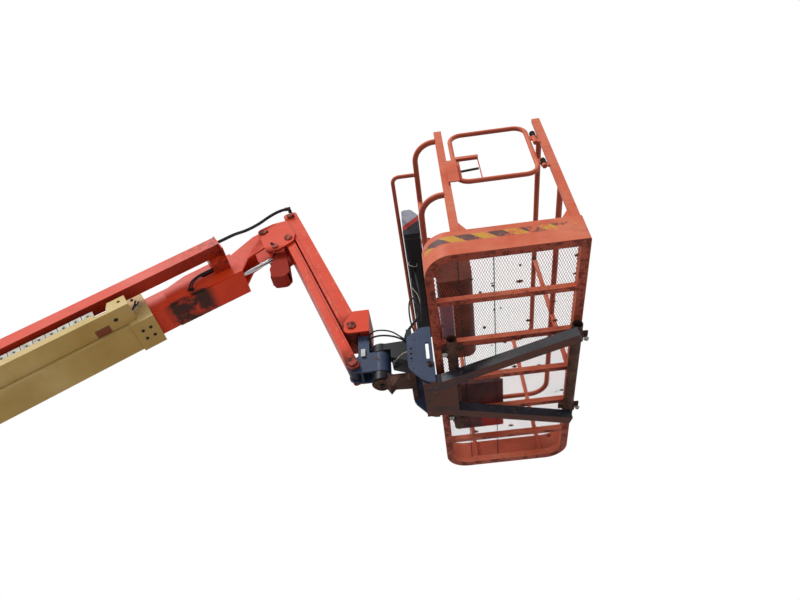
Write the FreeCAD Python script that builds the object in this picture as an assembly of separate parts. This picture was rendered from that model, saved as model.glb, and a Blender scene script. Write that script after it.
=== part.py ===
import FreeCAD, Part
import math
import os

V = FreeCAD.Vector
os.makedirs("parts", exist_ok=True)

# Telescoping boom end with a folding jib and a work platform. Millimetres, +Z up.
# The origin is the centre of the boom's foot pivot. +X runs out along the machine, +Y across it.

# Main boom: angle and sections, in the boom's own frame (u along it, v square to it and up)
BOOM_ANGLE = 32.0
BASE_LENGTH = 3204.0
BASE_WIDTH = 216.0
BASE_BOTTOM, BASE_TOP = -134.0, 126.0
BASE_WALL = 8.0
BASE_START = 150.0
COLLAR_LENGTH = 150.0
COLLAR_BAND = 10.0
FOOT_BORE_R = 30.0
FOOT_BOSS_R = 62.0
FOOT_WIDTH = 260.0
LIFT_LUG_U = 1150.0
LIFT_LUG_DROP = 95.0
LIFT_BORE_R = 25.0
LIFT_LUG_HALF = 70.0
LIFT_LUG_PLATE = 25.0
LIFT_LUG_R = 58.0

FLY_BOTTOM, FLY_TOP = -112.0, 84.0
FLY_WIDTH = 180.0
FLY_WALL = 6.0
FLY_START = 900.0
FLY_END = 3844.0
HEAD_START = 3330.0
HEAD_PLATE = 10.0
HEAD_TOP = 106.0
SLIDE_GAP = 0.3
PAD_LENGTH = 110.0
PAD_SIDE_HEIGHT = 90.0
PAD_FLAT_WIDTH = 120.0

# Levelling pivot A, level-cylinder pin K and the cylinder
LEVEL_U, LEVEL_V = 4132.0, 160.0
LEVEL_PIN_R = 20.0
LEVEL_BOSS_R = 42.0
ROD_PIN_V = -44.0
ROD_PIN_R = 14.0
ROD_EYE_R = 30.0
ROD_EYE_WIDTH = 44.0
ROD_R = 16.0
BARREL_R = 34.0
BARREL_LENGTH = 430.0
BARREL_END_U = 3800.0
ROD_BACK = 90.0
OPEN_PIVOT_GAP = 4.0
NOSE_HALF = 72.0
NOSE_PLATE = 12.0

# Jib: two parallel bars
JIB_ANGLE = -68.7
JIB_LENGTH = 1300.0
JIB_PIN_X, JIB_PIN_Z = 3615.0, 2231.0
LINK_BACK, LINK_RISE = 8.0, 275.0
BAR_WIDTH = 160.0
BAR_WALL = 6.0
LOWER_DEPTH = 60.0
UPPER_DEPTH = 100.0
JIB_PIN_R = 20.0
PIN_RUN = 0.05
BAR_END = 42.0
FORK_REACH = 62.0
FORK_DOUBLER = 6.0
BOSS_EXTRA = 5.0
SIDE_GAP = 5.0
CHEEK = 12.0
LUG_R = 40.0
BUSH_GAP = 1.0
PIN_HEAD = 8.0

# End bracket and rotator
ROTATOR_X = 4244.0
HOUSING_R = 56.0
HOUSING_BOTTOM, HOUSING_TOP = 962.0, 1100.0
HUB_R = 58.0
HUB_BOTTOM, HUB_TOP = 904.0, 1160.0
HUB_GAP = 6.0
SHAFT_R = 24.0
ARM_HALF = 60.0
SIDE_PLATE_Y = 150.0
SIDE_PLATE = 12.0

# Platform
PLAT_X, PLAT_Z = 4560.0, 870.0
PLAT_W, PLAT_L = 760.0, 1830.0
CORNER_R = 130.0
SHARP_R = 6.0
FLOOR_TUBE = 40.0
FLOOR_WALL = 3.0
BAR_COUNT = 6
TOE_H = 170.0
TOE_T = 4.0
MESH_T = 3.0
RAIL_R = 16.0
RAIL_IN = 18.0
TOP_RAIL, MID_RAIL = 1030.0, 500.0
POST_TOP = 1125.0
POST_X = 166.0
POST_W = 44.0
POST_T = 16.0
SADDLE_R = 28.0

# Hose carrier beside the base section: tray, link track, push tube
TRAY_START, TRAY_END = 700.0, 3110.0
TRAY_NEAR = -262.0
TRAY_BOTTOM, TRAY_LIP = -110.0, -62.0
TRAY_BRACKETS = (760.0, 1560.0, 2360.0)
LINK_PITCH, LINK_WIDTH, LINK_HEIGHT, LINK_HOLE_R = 74.0, 96.0, 78.0, 12.0
PUSH_START, PUSH_END = 620.0, 3790.0
PUSH_NEAR, PUSH_FAR = -270.0, -182.0
PUSH_BOTTOM, PUSH_TOP = 32.0, 124.0
GUIDE_U = 1400.0
HEAD_LIP = 14.0
SLOT_U, SLOT_V = 3640.0, 20.0
ROD_STROKE = 136.0
ROD_SPARE = 10.0
LUG_IN, LUG_OUT = 48.0, 60.0
LOBE_IN, LOBE_OUT = 40.0, 52.0
CLEVIS_BOTTOM = 1236.0
END_IN, END_OUT = 42.0, 54.0
LOW_LUG_HALF = 64.0
LOWER_ARM_HALF = 45.0
ARM_END = 4438.0
ARM_BOTTOM = 755.0
SUPPORT_ARM = 55.0
LEFT_TUBE_X, RIGHT_TUBE_X = 4652.0, 5292.0
CROSS_TUBE_HALF = 390.0
MESH_INSET = 4.0
RAIL_BEND = 120.0
POST_R = 14.0
SIDE_POSTS = ((742.0, 1000.0), (604.0, 1812.0), (190.0, 1812.0), (18.0, 1500.0), (18.0, 420.0))

# Gate: knuckles, pins and loop, from the platform's near-left floor corner
GATE_PIN_X = PLAT_X + 690.0
GATE_TO_PIN = 34.0
GATE_X0, GATE_Z0, GATE_Z1 = 226.0, 590.0, 1060.0
GATE_BEND = 70.0
GATE_R = 13.0
GATE_HINGES = (690.0, 930.0)
GATE_HANDLE = (690.0, 810.0)
KNUCKLE, KNUCKLE_R, GATE_PIN_R = 34.0, 13.0, 6.0

# Fittings on the platform: low and high X, Y and Z from its near-left floor corner
CONSOLE = (-110.0, -4.0, 520.0, 1480.0, 850.0, 1100.0)
STORAGE = (60.0, 280.0, 720.0, 1440.0, 600.0, 840.0)
FOOT_SWITCH = (110.0, 366.0, 1015.0, 1459.0, 43.0, 150.0)
GUARD_X, GUARD_Y0, GUARD_Y1 = -132.0, 222.0, 1600.0
BRACKET_YS = (760.0, 1380.0)

# Hoses and cable
HOSE_R, THIN_HOSE_R, CABLE_R = 11.0, 6.0, 8.0
HOSE_PLANE = 132.0
BLOCK_HALF = 24.0
CABLE_Y = -40.0

JIB_TILT = math.radians(JIB_ANGLE)
DX, DZ = math.cos(JIB_TILT), math.sin(JIB_TILT)
LOW_TOP = (JIB_PIN_X, JIB_PIN_Z)
UP_TOP = (JIB_PIN_X - LINK_BACK, JIB_PIN_Z + LINK_RISE)
LOW_END = (LOW_TOP[0] + JIB_LENGTH * DX, LOW_TOP[1] + JIB_LENGTH * DZ)
UP_END = (UP_TOP[0] + JIB_LENGTH * DX, UP_TOP[1] + JIB_LENGTH * DZ)
BAR_HALF = BAR_WIDTH / 2
CHEEK_IN = BAR_HALF + SIDE_GAP
CHEEK_OUT = CHEEK_IN + CHEEK
PLAT_Y = -PLAT_L / 2


def box(x0, x1, y0, y1, z0, z1):
    return Part.makeBox(x1 - x0, y1 - y0, z1 - z0, V(x0, y0, z0))


def rod(start, end, radius):
    a, b = V(*start), V(*end)
    return Part.makeCylinder(radius, (b - a).Length, a, b - a)


def cross_rod(x, z, half, radius):
    return rod((x, -half, z), (x, half, z), radius)


def fuse(shapes):
    solid = shapes[0]
    for other in shapes[1:]:
        solid = solid.fuse(other)
    return solid.removeSplitter()


def outline(points, radii):
    """Closed wire through points, each corner rounded by its own radius (0 leaves it sharp)."""
    edges, count, cuts = [], len(points), []
    for i, radius in enumerate(radii):
        p, a, b = points[i], points[i - 1], points[(i + 1) % count]
        if radius == 0:
            cuts.append((p, p, p))
            continue
        da, db = (a - p).normalize(), (b - p).normalize()
        half = da.getAngle(db) / 2
        reach = radius / math.tan(half)
        centre = p + (da + db).normalize() * (radius / math.sin(half))
        middle = centre + (p - centre).normalize() * radius
        cuts.append((p + da * reach, middle, p + db * reach))
    for i, (start, middle, end) in enumerate(cuts):
        if radii[i]:
            edges.append(Part.Arc(start, middle, end).toShape())
        following = cuts[(i + 1) % count][0]
        if (following - end).Length > 1e-6:
            edges.append(Part.makeLine(end, following))
    return Part.Wire(Part.__sortEdges__(edges))


def slab(points, radii, y0, y1):
    """Plate with an outline in X and Z, between two values of Y."""
    wire = outline([V(x, y0, z) for x, z in points], radii)
    return Part.Face(wire).extrude(V(0, y1 - y0, 0))


def plan_slab(points, radii, z0, z1):
    wire = outline([V(x, y, z0) for x, y in points], radii)
    return Part.Face(wire).extrude(V(0, 0, z1 - z0))


def twin(points, radii, inner, outer):
    """The same plate on both sides of the centre plane."""
    return [slab(points, radii, -outer, -inner), slab(points, radii, inner, outer)]


def pipe(points, bends, radius):
    """Round bar along straight runs joined by tangent arcs."""
    runs = [V(*p) for p in points]
    edges, last = [], runs[0]
    for i, bend in enumerate(bends):
        p, a, b = runs[i + 1], runs[i], runs[i + 2]
        da, db = (a - p).normalize(), (b - p).normalize()
        half = da.getAngle(db) / 2
        reach = bend / math.tan(half)
        centre = p + (da + db).normalize() * (bend / math.sin(half))
        edges.append(Part.makeLine(last, p + da * reach))
        last = p + db * reach
        edges.append(Part.Arc(p + da * reach, centre + (p - centre).normalize() * bend, last).toShape())
    edges.append(Part.makeLine(last, runs[-1]))
    ring = Part.Wire(Part.makeCircle(radius, runs[0], runs[1] - runs[0]))
    return Part.Wire(edges).makePipeShell([ring], True, False)


def cable(points, radius):
    """Plain cord: each arc is as large as its two runs allow."""
    runs = [V(*p) for p in points]
    bends = []
    for a, p, b in zip(runs, runs[1:], runs[2:]):
        half = (a - p).getAngle(b - p) / 2
        bends.append(0.45 * min((p - a).Length, (b - p).Length) * math.tan(half))
    print("cord radii", [round(bend) for bend in bends])
    return pipe(points, bends, radius)


def tilt(shape):
    """From the boom's own frame to the upright one."""
    return shape.rotate(V(0, 0, 0), V(0, 1, 0), -BOOM_ANGLE)


def boom_point(u, v):
    angle = math.radians(BOOM_ANGLE)
    return (u * math.cos(angle) - v * math.sin(angle), u * math.sin(angle) + v * math.cos(angle))


def box_tube(u0, u1, half, bottom, top, wall):
    inner = box(u0 - 1, u1 + 1, -half + wall, half - wall, bottom + wall, top - wall)
    return box(u0, u1, -half, half, bottom, top).cut(inner)


LEVEL = boom_point(LEVEL_U, LEVEL_V)
ROD_PIN = boom_point(LEVEL_U, ROD_PIN_V)


def base_boom():
    half = BASE_WIDTH / 2
    tube = box_tube(BASE_START, BASE_LENGTH, half, BASE_BOTTOM, BASE_TOP, BASE_WALL)
    collar = box_tube(BASE_LENGTH - COLLAR_LENGTH, BASE_LENGTH, half + COLLAR_BAND,
                      BASE_BOTTOM - COLLAR_BAND, BASE_TOP + COLLAR_BAND, COLLAR_BAND)
    plate = [(0, FOOT_BOSS_R), (BASE_START + 230, BASE_TOP - 30), (BASE_START + 230, BASE_BOTTOM + 30),
             (0, -FOOT_BOSS_R)]
    foot = twin(plate, [0] * 4, half, half + 14)
    boss = rod((0, -FOOT_WIDTH / 2, 0), (0, FOOT_WIDTH / 2, 0), FOOT_BOSS_R)
    closing = box(BASE_START, BASE_START + 12, -half, half, BASE_BOTTOM, BASE_TOP)
    low = BASE_BOTTOM - LIFT_LUG_DROP
    ear = [(LIFT_LUG_U - 150, BASE_BOTTOM + 2), (LIFT_LUG_U - LIFT_LUG_R, low - LIFT_LUG_R),
           (LIFT_LUG_U + LIFT_LUG_R, low - LIFT_LUG_R), (LIFT_LUG_U + 150, BASE_BOTTOM + 2)]
    ears = twin(ear, [0, LIFT_LUG_R - 4, LIFT_LUG_R - 4, 0], LIFT_LUG_HALF - LIFT_LUG_PLATE, LIFT_LUG_HALF)
    solid = fuse([tube, collar, closing, boss] + foot + ears)
    solid = solid.cut(rod((0, -FOOT_WIDTH, 0), (0, FOOT_WIDTH, 0), FOOT_BORE_R))
    return tilt(solid.cut(rod((LIFT_LUG_U, -half, low), (LIFT_LUG_U, half, low), LIFT_BORE_R)))


def wear_pads():
    """Slide pads inside the collar, one at each wall of the fly section."""
    end = BASE_LENGTH - 6
    start = end - PAD_LENGTH
    side_in, side_out = FLY_WIDTH / 2 + SLIDE_GAP, BASE_WIDTH / 2 - BASE_WALL
    middle = (FLY_BOTTOM + FLY_TOP) / 2
    low, high = middle - PAD_SIDE_HEIGHT / 2, middle + PAD_SIDE_HEIGHT / 2
    wide = PAD_FLAT_WIDTH / 2
    pads = [box(start, end, -side_out, -side_in, low, high), box(start, end, side_in, side_out, low, high),
            box(start, end, -wide, wide, BASE_BOTTOM + BASE_WALL, FLY_BOTTOM - SLIDE_GAP),
            box(start, end, -wide, wide, FLY_TOP + SLIDE_GAP, BASE_TOP - BASE_WALL)]
    return tilt(Part.makeCompound(pads))


def track_tray():
    """Open channel beside the base section, with its bracket plates and a cut-out near its end."""
    low = TRAY_BOTTOM
    near, far = TRAY_NEAR, -BASE_WIDTH / 2 - COLLAR_BAND
    channel = box(TRAY_START, TRAY_END, near, far, low, TRAY_LIP)
    channel = channel.cut(box(TRAY_START - 1, TRAY_END - 6, near + 6, far - 6, low + 6, TRAY_LIP + 1))
    ear = [(TRAY_END - 130, TRAY_LIP - 1), (TRAY_END, TRAY_LIP - 1), (TRAY_END, TRAY_LIP + 50),
           (TRAY_END - 110, TRAY_LIP + 50)]
    solids = [channel, slab(ear, [0] * 4, near, near + 6)]
    for u in TRAY_BRACKETS:
        solids.append(box(u, u + 60, far, -BASE_WIDTH / 2, low + 10, low + 50))
    tray = fuse(solids)
    hole_u, hole_v = TRAY_END - 45, TRAY_LIP + 12
    tray = tray.cut(rod((hole_u, near - 5, hole_v), (hole_u, near + 10, hole_v), 11))
    return tilt(tray.cut(box(TRAY_END - 210, TRAY_END - 130, near - 1, near + 7, low + 16, TRAY_LIP + 1)))


def power_track():
    """Row of links that carries the hoses, lying in the tray."""
    links = []
    low = TRAY_BOTTOM + 6
    start = TRAY_START + 60
    count = int((TRAY_END - 150 - start) / LINK_PITCH)
    for i in range(count):
        u = start + i * LINK_PITCH
        near = TRAY_NEAR + 14
        link = box(u, u + LINK_PITCH - 0.5, near, near + LINK_WIDTH, low, low + LINK_HEIGHT)
        middle = u + LINK_PITCH / 2
        hole_v = low + LINK_HEIGHT * 0.6
        hole = rod((middle, TRAY_NEAR, hole_v), (middle, 0, hole_v), LINK_HOLE_R)
        links.append(link.cut(hole))
    return tilt(Part.makeCompound(links))


def tube_guide():
    """Saddle on the base section that the push tube slides on."""
    u, low = GUIDE_U, PUSH_BOTTOM - SLIDE_GAP
    floor = box(u, u + 80, PUSH_NEAR - 12, -BASE_WIDTH / 2, low - 10, low)
    lip = box(u, u + 80, PUSH_NEAR - 12, PUSH_NEAR - SLIDE_GAP, low - 1, low + 45)
    leg = box(u, u + 80, -BASE_WIDTH / 2 - 12, -BASE_WIDTH / 2, low - 60, low - 1)
    return tilt(fuse([floor, lip, leg]))


def fly_boom():
    half = FLY_WIDTH / 2
    tube = box_tube(FLY_START, FLY_END, half, FLY_BOTTOM, FLY_TOP, FLY_WALL)
    head = [(HEAD_START, FLY_BOTTOM + 4), (FLY_END, FLY_BOTTOM - HEAD_LIP), (FLY_END, HEAD_TOP),
            (HEAD_START + 170, HEAD_TOP), (HEAD_START, FLY_TOP - 24)]
    doublers = twin(head, [0] * 5, half, half + HEAD_PLATE)
    shoe = [(HEAD_START + 90, FLY_BOTTOM + 1), (HEAD_START + 130, FLY_BOTTOM - HEAD_LIP),
            (FLY_END, FLY_BOTTOM - HEAD_LIP), (FLY_END, FLY_BOTTOM + 1)]
    pan = slab(shoe, [0] * 4, -half, half)
    tip = LEVEL_U + LEVEL_BOSS_R
    nose = [(FLY_END - 120, FLY_BOTTOM + 20), (FLY_END, FLY_BOTTOM + 20), (FLY_END + 92, 5),
            (LEVEL_U - 57, 28), (tip, LEVEL_V - LEVEL_BOSS_R), (tip, LEVEL_V + LEVEL_BOSS_R),
            (LEVEL_U - 70, LEVEL_V + LEVEL_BOSS_R), (FLY_END - 120, HEAD_TOP - 30)]
    round_boss = LEVEL_BOSS_R - 2
    cheeks = twin(nose, [0, 0, 30, 20, round_boss, round_boss, 60, 0], NOSE_HALF - NOSE_PLATE, NOSE_HALF)
    wall = box(FLY_END - 12, FLY_END, -half, half, FLY_BOTTOM, HEAD_TOP)
    wall = wall.cut(rod((FLY_END - 20, 0, ROD_PIN_V), (FLY_END + 5, 0, ROD_PIN_V), ROD_R + 16))
    web = box(FLY_END - 5, LEVEL_U - 120, -NOSE_HALF + 2, NOSE_HALF - 2, 92, 102)
    solid = fuse([tube, pan, wall, web] + doublers + cheeks)
    slot = outline([V(SLOT_U + x, -half - 20, SLOT_V + z) for x, z in
                    [(-48, -24), (48, -24), (48, 24), (-48, 24)]], [22] * 4)
    solid = solid.cut(Part.Face(slot).extrude(V(0, 40, 0)))
    return tilt(solid.cut(rod((LEVEL_U, -half, LEVEL_V), (LEVEL_U, half, LEVEL_V), LEVEL_PIN_R + PIN_RUN)))


def push_tube():
    """Square tube that pushes the hoses out, with the bracket that ties it to the fly's head."""
    wall = 5.0
    tube = box(PUSH_START, PUSH_END, PUSH_NEAR, PUSH_FAR, PUSH_BOTTOM, PUSH_TOP)
    tube = tube.cut(box(PUSH_START - 1, PUSH_END - 8, PUSH_NEAR + wall, PUSH_FAR - wall,
                        PUSH_BOTTOM + wall, PUSH_TOP - wall))
    side = -FLY_WIDTH / 2 - HEAD_PLATE
    outer = box(PUSH_END - 105, PUSH_END + 4, PUSH_FAR - 1, side, PUSH_BOTTOM - 70, PUSH_TOP + 4)
    inner = box(PUSH_END - 97, PUSH_END + 5, PUSH_FAR + 6, side - 6, PUSH_BOTTOM - 62, PUSH_TOP - 4)
    face = box(PUSH_END - 4, PUSH_END + 4, PUSH_NEAR - 4, side, PUSH_BOTTOM - 70, PUSH_TOP + 4)
    return tilt(fuse([tube, outer.cut(inner), face]))


def level_barrel():
    """Barrel of the level cylinder inside the fly, on its rear pin."""
    end, start = BARREL_END_U, BARREL_END_U - BARREL_LENGTH
    body = rod((start, 0, ROD_PIN_V), (end, 0, ROD_PIN_V), BARREL_R)
    body = body.cut(rod((start + 20, 0, ROD_PIN_V), (end - 30, 0, ROD_PIN_V), BARREL_R - 6))
    body = body.cut(rod((end - 31, 0, ROD_PIN_V), (end + 1, 0, ROD_PIN_V), ROD_R + PIN_RUN))
    inside = FLY_WIDTH / 2 - FLY_WALL
    eye = [rod((start - 40, -inside, ROD_PIN_V), (start - 40, inside, ROD_PIN_V), ROD_PIN_R),
           rod((start - 40, -20, ROD_PIN_V), (start - 40, 20, ROD_PIN_V), ROD_EYE_R),
           box(start - 40, start + 5, -16, 16, ROD_PIN_V - 20, ROD_PIN_V + 20)]
    return tilt(fuse([body] + eye))


def level_rod():
    tip = LEVEL_U - ROD_EYE_R - OPEN_PIVOT_GAP
    piston = BARREL_END_U - 30 - ROD_STROKE - ROD_SPARE
    head = rod((piston - 25, 0, ROD_PIN_V), (piston, 0, ROD_PIN_V), BARREL_R - 6 - PIN_RUN)
    return tilt(fuse([rod((piston - 1, 0, ROD_PIN_V), (tip, 0, ROD_PIN_V), ROD_R), head]))


def level_eye():
    """Rod eye on its pin, held by the bracket."""
    x, z = ROD_PIN
    return cross_rod(x, z, ROD_EYE_WIDTH / 2, ROD_EYE_R).cut(cross_rod(x, z, ROD_EYE_WIDTH, ROD_PIN_R))


def pin(x, z, half, radius):
    """Plain pin with a round head at each end."""
    heads = [rod((x, side * half, z), (x, side * (half + PIN_HEAD), z), radius + 8) for side in (-1, 1)]
    return fuse([cross_rod(x, z, half, radius)] + heads)


def level_pins():
    """Levelling pivot and level-cylinder pin."""
    return Part.makeCompound([pin(*LEVEL, CHEEK_OUT, LEVEL_PIN_R), pin(*ROD_PIN, CHEEK_OUT, ROD_PIN_R)])


def jib_base_bracket():
    """Cheeks for the levelling pivot and the lower bar, lug for the upper bar, lobe below."""
    x, z = LOW_TOP
    cheek = [(3374, 2352), (3486, 2416), (x - 30, 2438), (x + 46, z + 45), (x + 42, z - 38),
             (x - 55, z - 119), (3472, 2098)]
    cheeks = twin(cheek, [36, 12, 12, 30, 36, 20, 30], CHEEK_IN, CHEEK_OUT)
    ux, uz = UP_TOP
    lug = [(ux - 52, uz - 150), (ux - LUG_R, uz + LUG_R), (ux + LUG_R, uz + LUG_R), (ux + LUG_R, uz - 20),
           (ux + 18, uz - 46), (ux - 34, uz - 75), (ux - 34, uz - 200), (ux - 100, uz - 260),
           (ux - 140, uz - 150)]
    lugs = twin(lug, [10, 38, 38, 12, 10, 10, 0, 0, 0], LUG_IN, LUG_OUT)
    lobe = [(3520, 2115), (3496, 1960), (3520, 1874), (3610, 1874), (3638, 1920), (3606, 2090), (3590, 2150)]
    lobes = twin(lobe, [0, 20, 30, 34, 24, 0, 0], LOBE_IN, LOBE_OUT)
    bottom = slab([(3512, 1890), (3540, 1876), (3600, 1876), (3626, 1900), (3600, 1888), (3540, 1888)],
                  [0] * 6, -LOBE_IN - 1, LOBE_IN + 1)
    back = slab([(3500, 1985), (3512, 1985), (3520, 1890), (3508, 1890)], [0] * 4, -LOBE_IN - 1, LOBE_IN + 1)
    front = slab([(3622, 1960), (3632, 1930), (3612, 2070), (3602, 2070)], [0] * 4, -LOBE_IN - 1, LOBE_IN + 1)
    shelf = box(3535, 3596, -CHEEK_IN - 1, CHEEK_IN + 1, 2092, 2104)
    ears = twin([(3535, 2100), (3596, 2100), (3590, 2150), (3545, 2128)], [0] * 4, CHEEK_IN - 1, CHEEK_IN + 2)
    span = CHEEK_IN + 1
    bridge = slab([(3490, 2398), (3552, 2420), (3549, 2432), (3486, 2410)], [0] * 4, -span, span)
    strap = slab([(3500, 2395), (3540, 2300), (3552, 2304), (3512, 2400)], [0] * 4, -span, span)
    boss = cross_rod(ux, uz, LUG_OUT + 4, LUG_R - 2)
    solid = fuse([bottom, back, front, shelf, bridge, strap, boss] + ears + cheeks + lugs + lobes)
    for px, pz, radius in [(*LEVEL, LEVEL_PIN_R), (*ROD_PIN, ROD_PIN_R), (x, z, JIB_PIN_R),
                           (ux, uz, JIB_PIN_R)]:
        solid = solid.cut(cross_rod(px, pz, CHEEK_OUT + 5, radius))
    return solid


def bar_frame(shape, start):
    """Place a bar built along +X at its pin, along the jib."""
    shape = shape.rotate(V(0, 0, 0), V(0, 1, 0), -JIB_ANGLE)
    return shape.translate(V(start[0], 0, start[1]))


def jib_bar(depth, boss_at, fork_at):
    """Box bar with a boss at one end and a fork at the other, along +X from its upper pin."""
    half = depth / 2
    toward = 1 if fork_at > boss_at else -1
    box_end = fork_at - toward * FORK_REACH
    low, high = sorted((boss_at, box_end))
    shell = box(low, high, -BAR_HALF, BAR_HALF, -half, half)
    inside, inside_half = BAR_HALF - BAR_WALL, half - BAR_WALL
    hollow = box(low - 1, high + 1, -inside, inside, -inside_half, inside_half)
    boss = rod((boss_at, -CHEEK_IN + BUSH_GAP, 0), (boss_at, CHEEK_IN - BUSH_GAP, 0), half + BOSS_EXTRA)
    tip = fork_at + toward * BAR_END
    low, high = sorted((box_end - toward * 60, tip))
    fork = []
    for side in (-1, 1):
        inner, outer = sorted((side * (BAR_HALF - BAR_WALL - FORK_DOUBLER), side * BAR_HALF))
        corners = [V(low, inner, -half), V(high, inner, -half), V(high, inner, half), V(low, inner, half)]
        rounds = [0, half * 0.6, half * 0.6, 0] if toward > 0 else [half * 0.6, 0, 0, half * 0.6]
        fork.append(Part.Face(outline(corners, rounds)).extrude(V(0, outer - inner, 0)))
    plug_start, plug_end = sorted((box_end - toward * 10, box_end))
    plug = box(plug_start, plug_end, -BAR_HALF + 1, BAR_HALF - 1, -half + 1, half - 1)
    solid = fuse([shell.cut(hollow), boss, plug] + fork)
    for place in (boss_at, fork_at):
        solid = solid.cut(rod((place, -BAR_WIDTH, 0), (place, BAR_WIDTH, 0), JIB_PIN_R + PIN_RUN))
    return solid


def jib_lower_bar():
    return bar_frame(jib_bar(LOWER_DEPTH, 0.0, JIB_LENGTH), LOW_TOP)


def jib_upper_bar():
    return bar_frame(jib_bar(UPPER_DEPTH, JIB_LENGTH, 0.0), UP_TOP)


def bracket_jib_pins():
    """Pins of the two bars in the jib base bracket."""
    return Part.makeCompound([pin(*LOW_TOP, CHEEK_OUT, JIB_PIN_R), pin(*UP_TOP, BAR_HALF + 1, JIB_PIN_R)])


def end_jib_pins():
    """Pins of the two bars in the end bracket."""
    return Part.makeCompound([pin(*UP_END, CHEEK_OUT, JIB_PIN_R), pin(*LOW_END, BAR_HALF + 1, JIB_PIN_R)])


def end_clevis():
    """Box clevis on top of the end bracket that holds the upper bar."""
    x, z = UP_END
    side = [(x - 44, z + 30), (x + 8, z + 118), (x + 108, z + 118), (x + 108, CLEVIS_BOTTOM),
            (x - 44, CLEVIS_BOTTOM)]
    sides = twin(side, [30, 6, 6, 0, 36], CHEEK_IN, CHEEK_OUT)
    top = box(x + 20, x + 108, -CHEEK_OUT, CHEEK_OUT, z + 108, z + 118)
    front = box(x + 98, x + 108, -CHEEK_OUT, CHEEK_OUT, CLEVIS_BOTTOM, z + 118)
    floor = box(x + 50, x + 108, -CHEEK_OUT, CHEEK_OUT, CLEVIS_BOTTOM, CLEVIS_BOTTOM + 10)
    solid = fuse([top, front, floor] + sides)
    return solid.cut(cross_rod(x, z, CHEEK_OUT + 5, JIB_PIN_R))


def rotator_bracket():
    """Plates from the lower bar's pin to the rotator's housing."""
    x, z = LOW_END
    right = UP_END[0] + 100
    plate = [(x - 38, z - 38), (x - 38, z + 38), (x + 28, z + 60), (x + 28, CLEVIS_BOTTOM),
             (right, CLEVIS_BOTTOM), (right, HOUSING_TOP), (ROTATOR_X - 20, HOUSING_TOP),
             (ROTATOR_X - 20, HOUSING_BOTTOM), (x + 40, HOUSING_BOTTOM)]
    plates = twin(plate, [34, 34, 12, 0, 0, 8, 0, 0, 10], END_IN, END_OUT)
    back = box(x + 40, x + 52, -END_IN - 1, END_IN + 1, HOUSING_BOTTOM, CLEVIS_BOTTOM)
    cap = box(x + 40, right, -END_IN - 1, END_IN + 1, CLEVIS_BOTTOM - 10, CLEVIS_BOTTOM)
    housing = rod((ROTATOR_X, 0, HOUSING_BOTTOM), (ROTATOR_X, 0, HOUSING_TOP), HOUSING_R)
    boss = cross_rod(x, z, LOW_LUG_HALF, 36)
    solid = fuse([back, cap, housing, boss] + plates)
    solid = solid.cut(rod((ROTATOR_X, 0, 0), (ROTATOR_X, 0, 2000), SHAFT_R + PIN_RUN))
    return solid.cut(cross_rod(x, z, LOW_LUG_HALF + 5, JIB_PIN_R))


def rotator_shaft():
    """Output shaft with a hub above and below the housing."""
    shaft = rod((ROTATOR_X, 0, HUB_BOTTOM), (ROTATOR_X, 0, HUB_TOP), SHAFT_R)
    low = rod((ROTATOR_X, 0, HUB_BOTTOM), (ROTATOR_X, 0, HOUSING_BOTTOM - HUB_GAP), HUB_R)
    high = rod((ROTATOR_X, 0, HOUSING_TOP + HUB_GAP), (ROTATOR_X, 0, HUB_TOP), HUB_R)
    return fuse([shaft, low, high])


def upper_arm():
    x = ROTATOR_X + HOUSING_R + HUB_GAP
    low = HOUSING_TOP + HUB_GAP
    side = [(ROTATOR_X + 20, low), (x, low), (x, low - 62), (ARM_END, low - 116), (ARM_END, HUB_TOP),
            (ROTATOR_X + 20, HUB_TOP - 8)]
    arm = slab(side, [0, 0, 10, 0, 0, 0], -ARM_HALF, ARM_HALF)
    beam = box(ARM_END - 30, ARM_END, -SIDE_PLATE_Y, SIDE_PLATE_Y, low - 116, HUB_TOP)
    solid = fuse([arm, beam])
    return solid.cut(rod((ROTATOR_X, 0, low - 1), (ROTATOR_X, 0, HUB_TOP + 1), HUB_R))


def lower_arm():
    top = HOUSING_BOTTOM - HUB_GAP
    side = [(ROTATOR_X + 20, HUB_BOTTOM), (ROTATOR_X + 20, top), (ROTATOR_X + 70, top - 26),
            (ARM_END, top - 26), (ARM_END, HUB_BOTTOM - 24), (ROTATOR_X + 72, HUB_BOTTOM - 16),
            (ROTATOR_X + 48, HUB_BOTTOM - 48)]
    arm = slab(side, [0, 0, 12, 0, 0, 12, 0], -LOWER_ARM_HALF, LOWER_ARM_HALF)
    beam = box(ARM_END - 30, ARM_END, -SIDE_PLATE_Y, SIDE_PLATE_Y, HUB_BOTTOM - 24, top - 26)
    solid = fuse([arm, beam])
    return solid.cut(rod((ROTATOR_X, 0, HUB_BOTTOM), (ROTATOR_X, 0, top + 1), HUB_R))


def support_side_plates():
    """Pair of plates with a round heel that carry the platform."""
    left, right = ARM_END - 30, PLAT_X - 12
    low = ARM_BOTTOM
    plate = [(left, 1090), (right - 50, 1152), (right, 1152), (right, low), (left + 95, low),
             (left, low + 110)]
    plates = twin(plate, [30, 20, 10, 0, 70, 80], SIDE_PLATE_Y, SIDE_PLATE_Y + SIDE_PLATE)
    slot_corners = [V(right - 28 + x, 0, 975 + z) for x, z in [(-9, -60), (9, -60), (9, 60), (-9, 60)]]
    slot = outline(slot_corners, [8] * 4)
    cuts = [Part.Face(slot).extrude(V(0, 400, 0)).translate(V(0, -200, 0)),
            cross_rod(right - 12 - 12, 883, 200, 16)]
    for z in (930, 965, 1000):
        cuts.append(cross_rod(left + 22, z, 200, 6))
    solids = [plate_solid.cut(Part.makeCompound(cuts)) for plate_solid in plates]
    return Part.makeCompound(solids)


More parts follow.
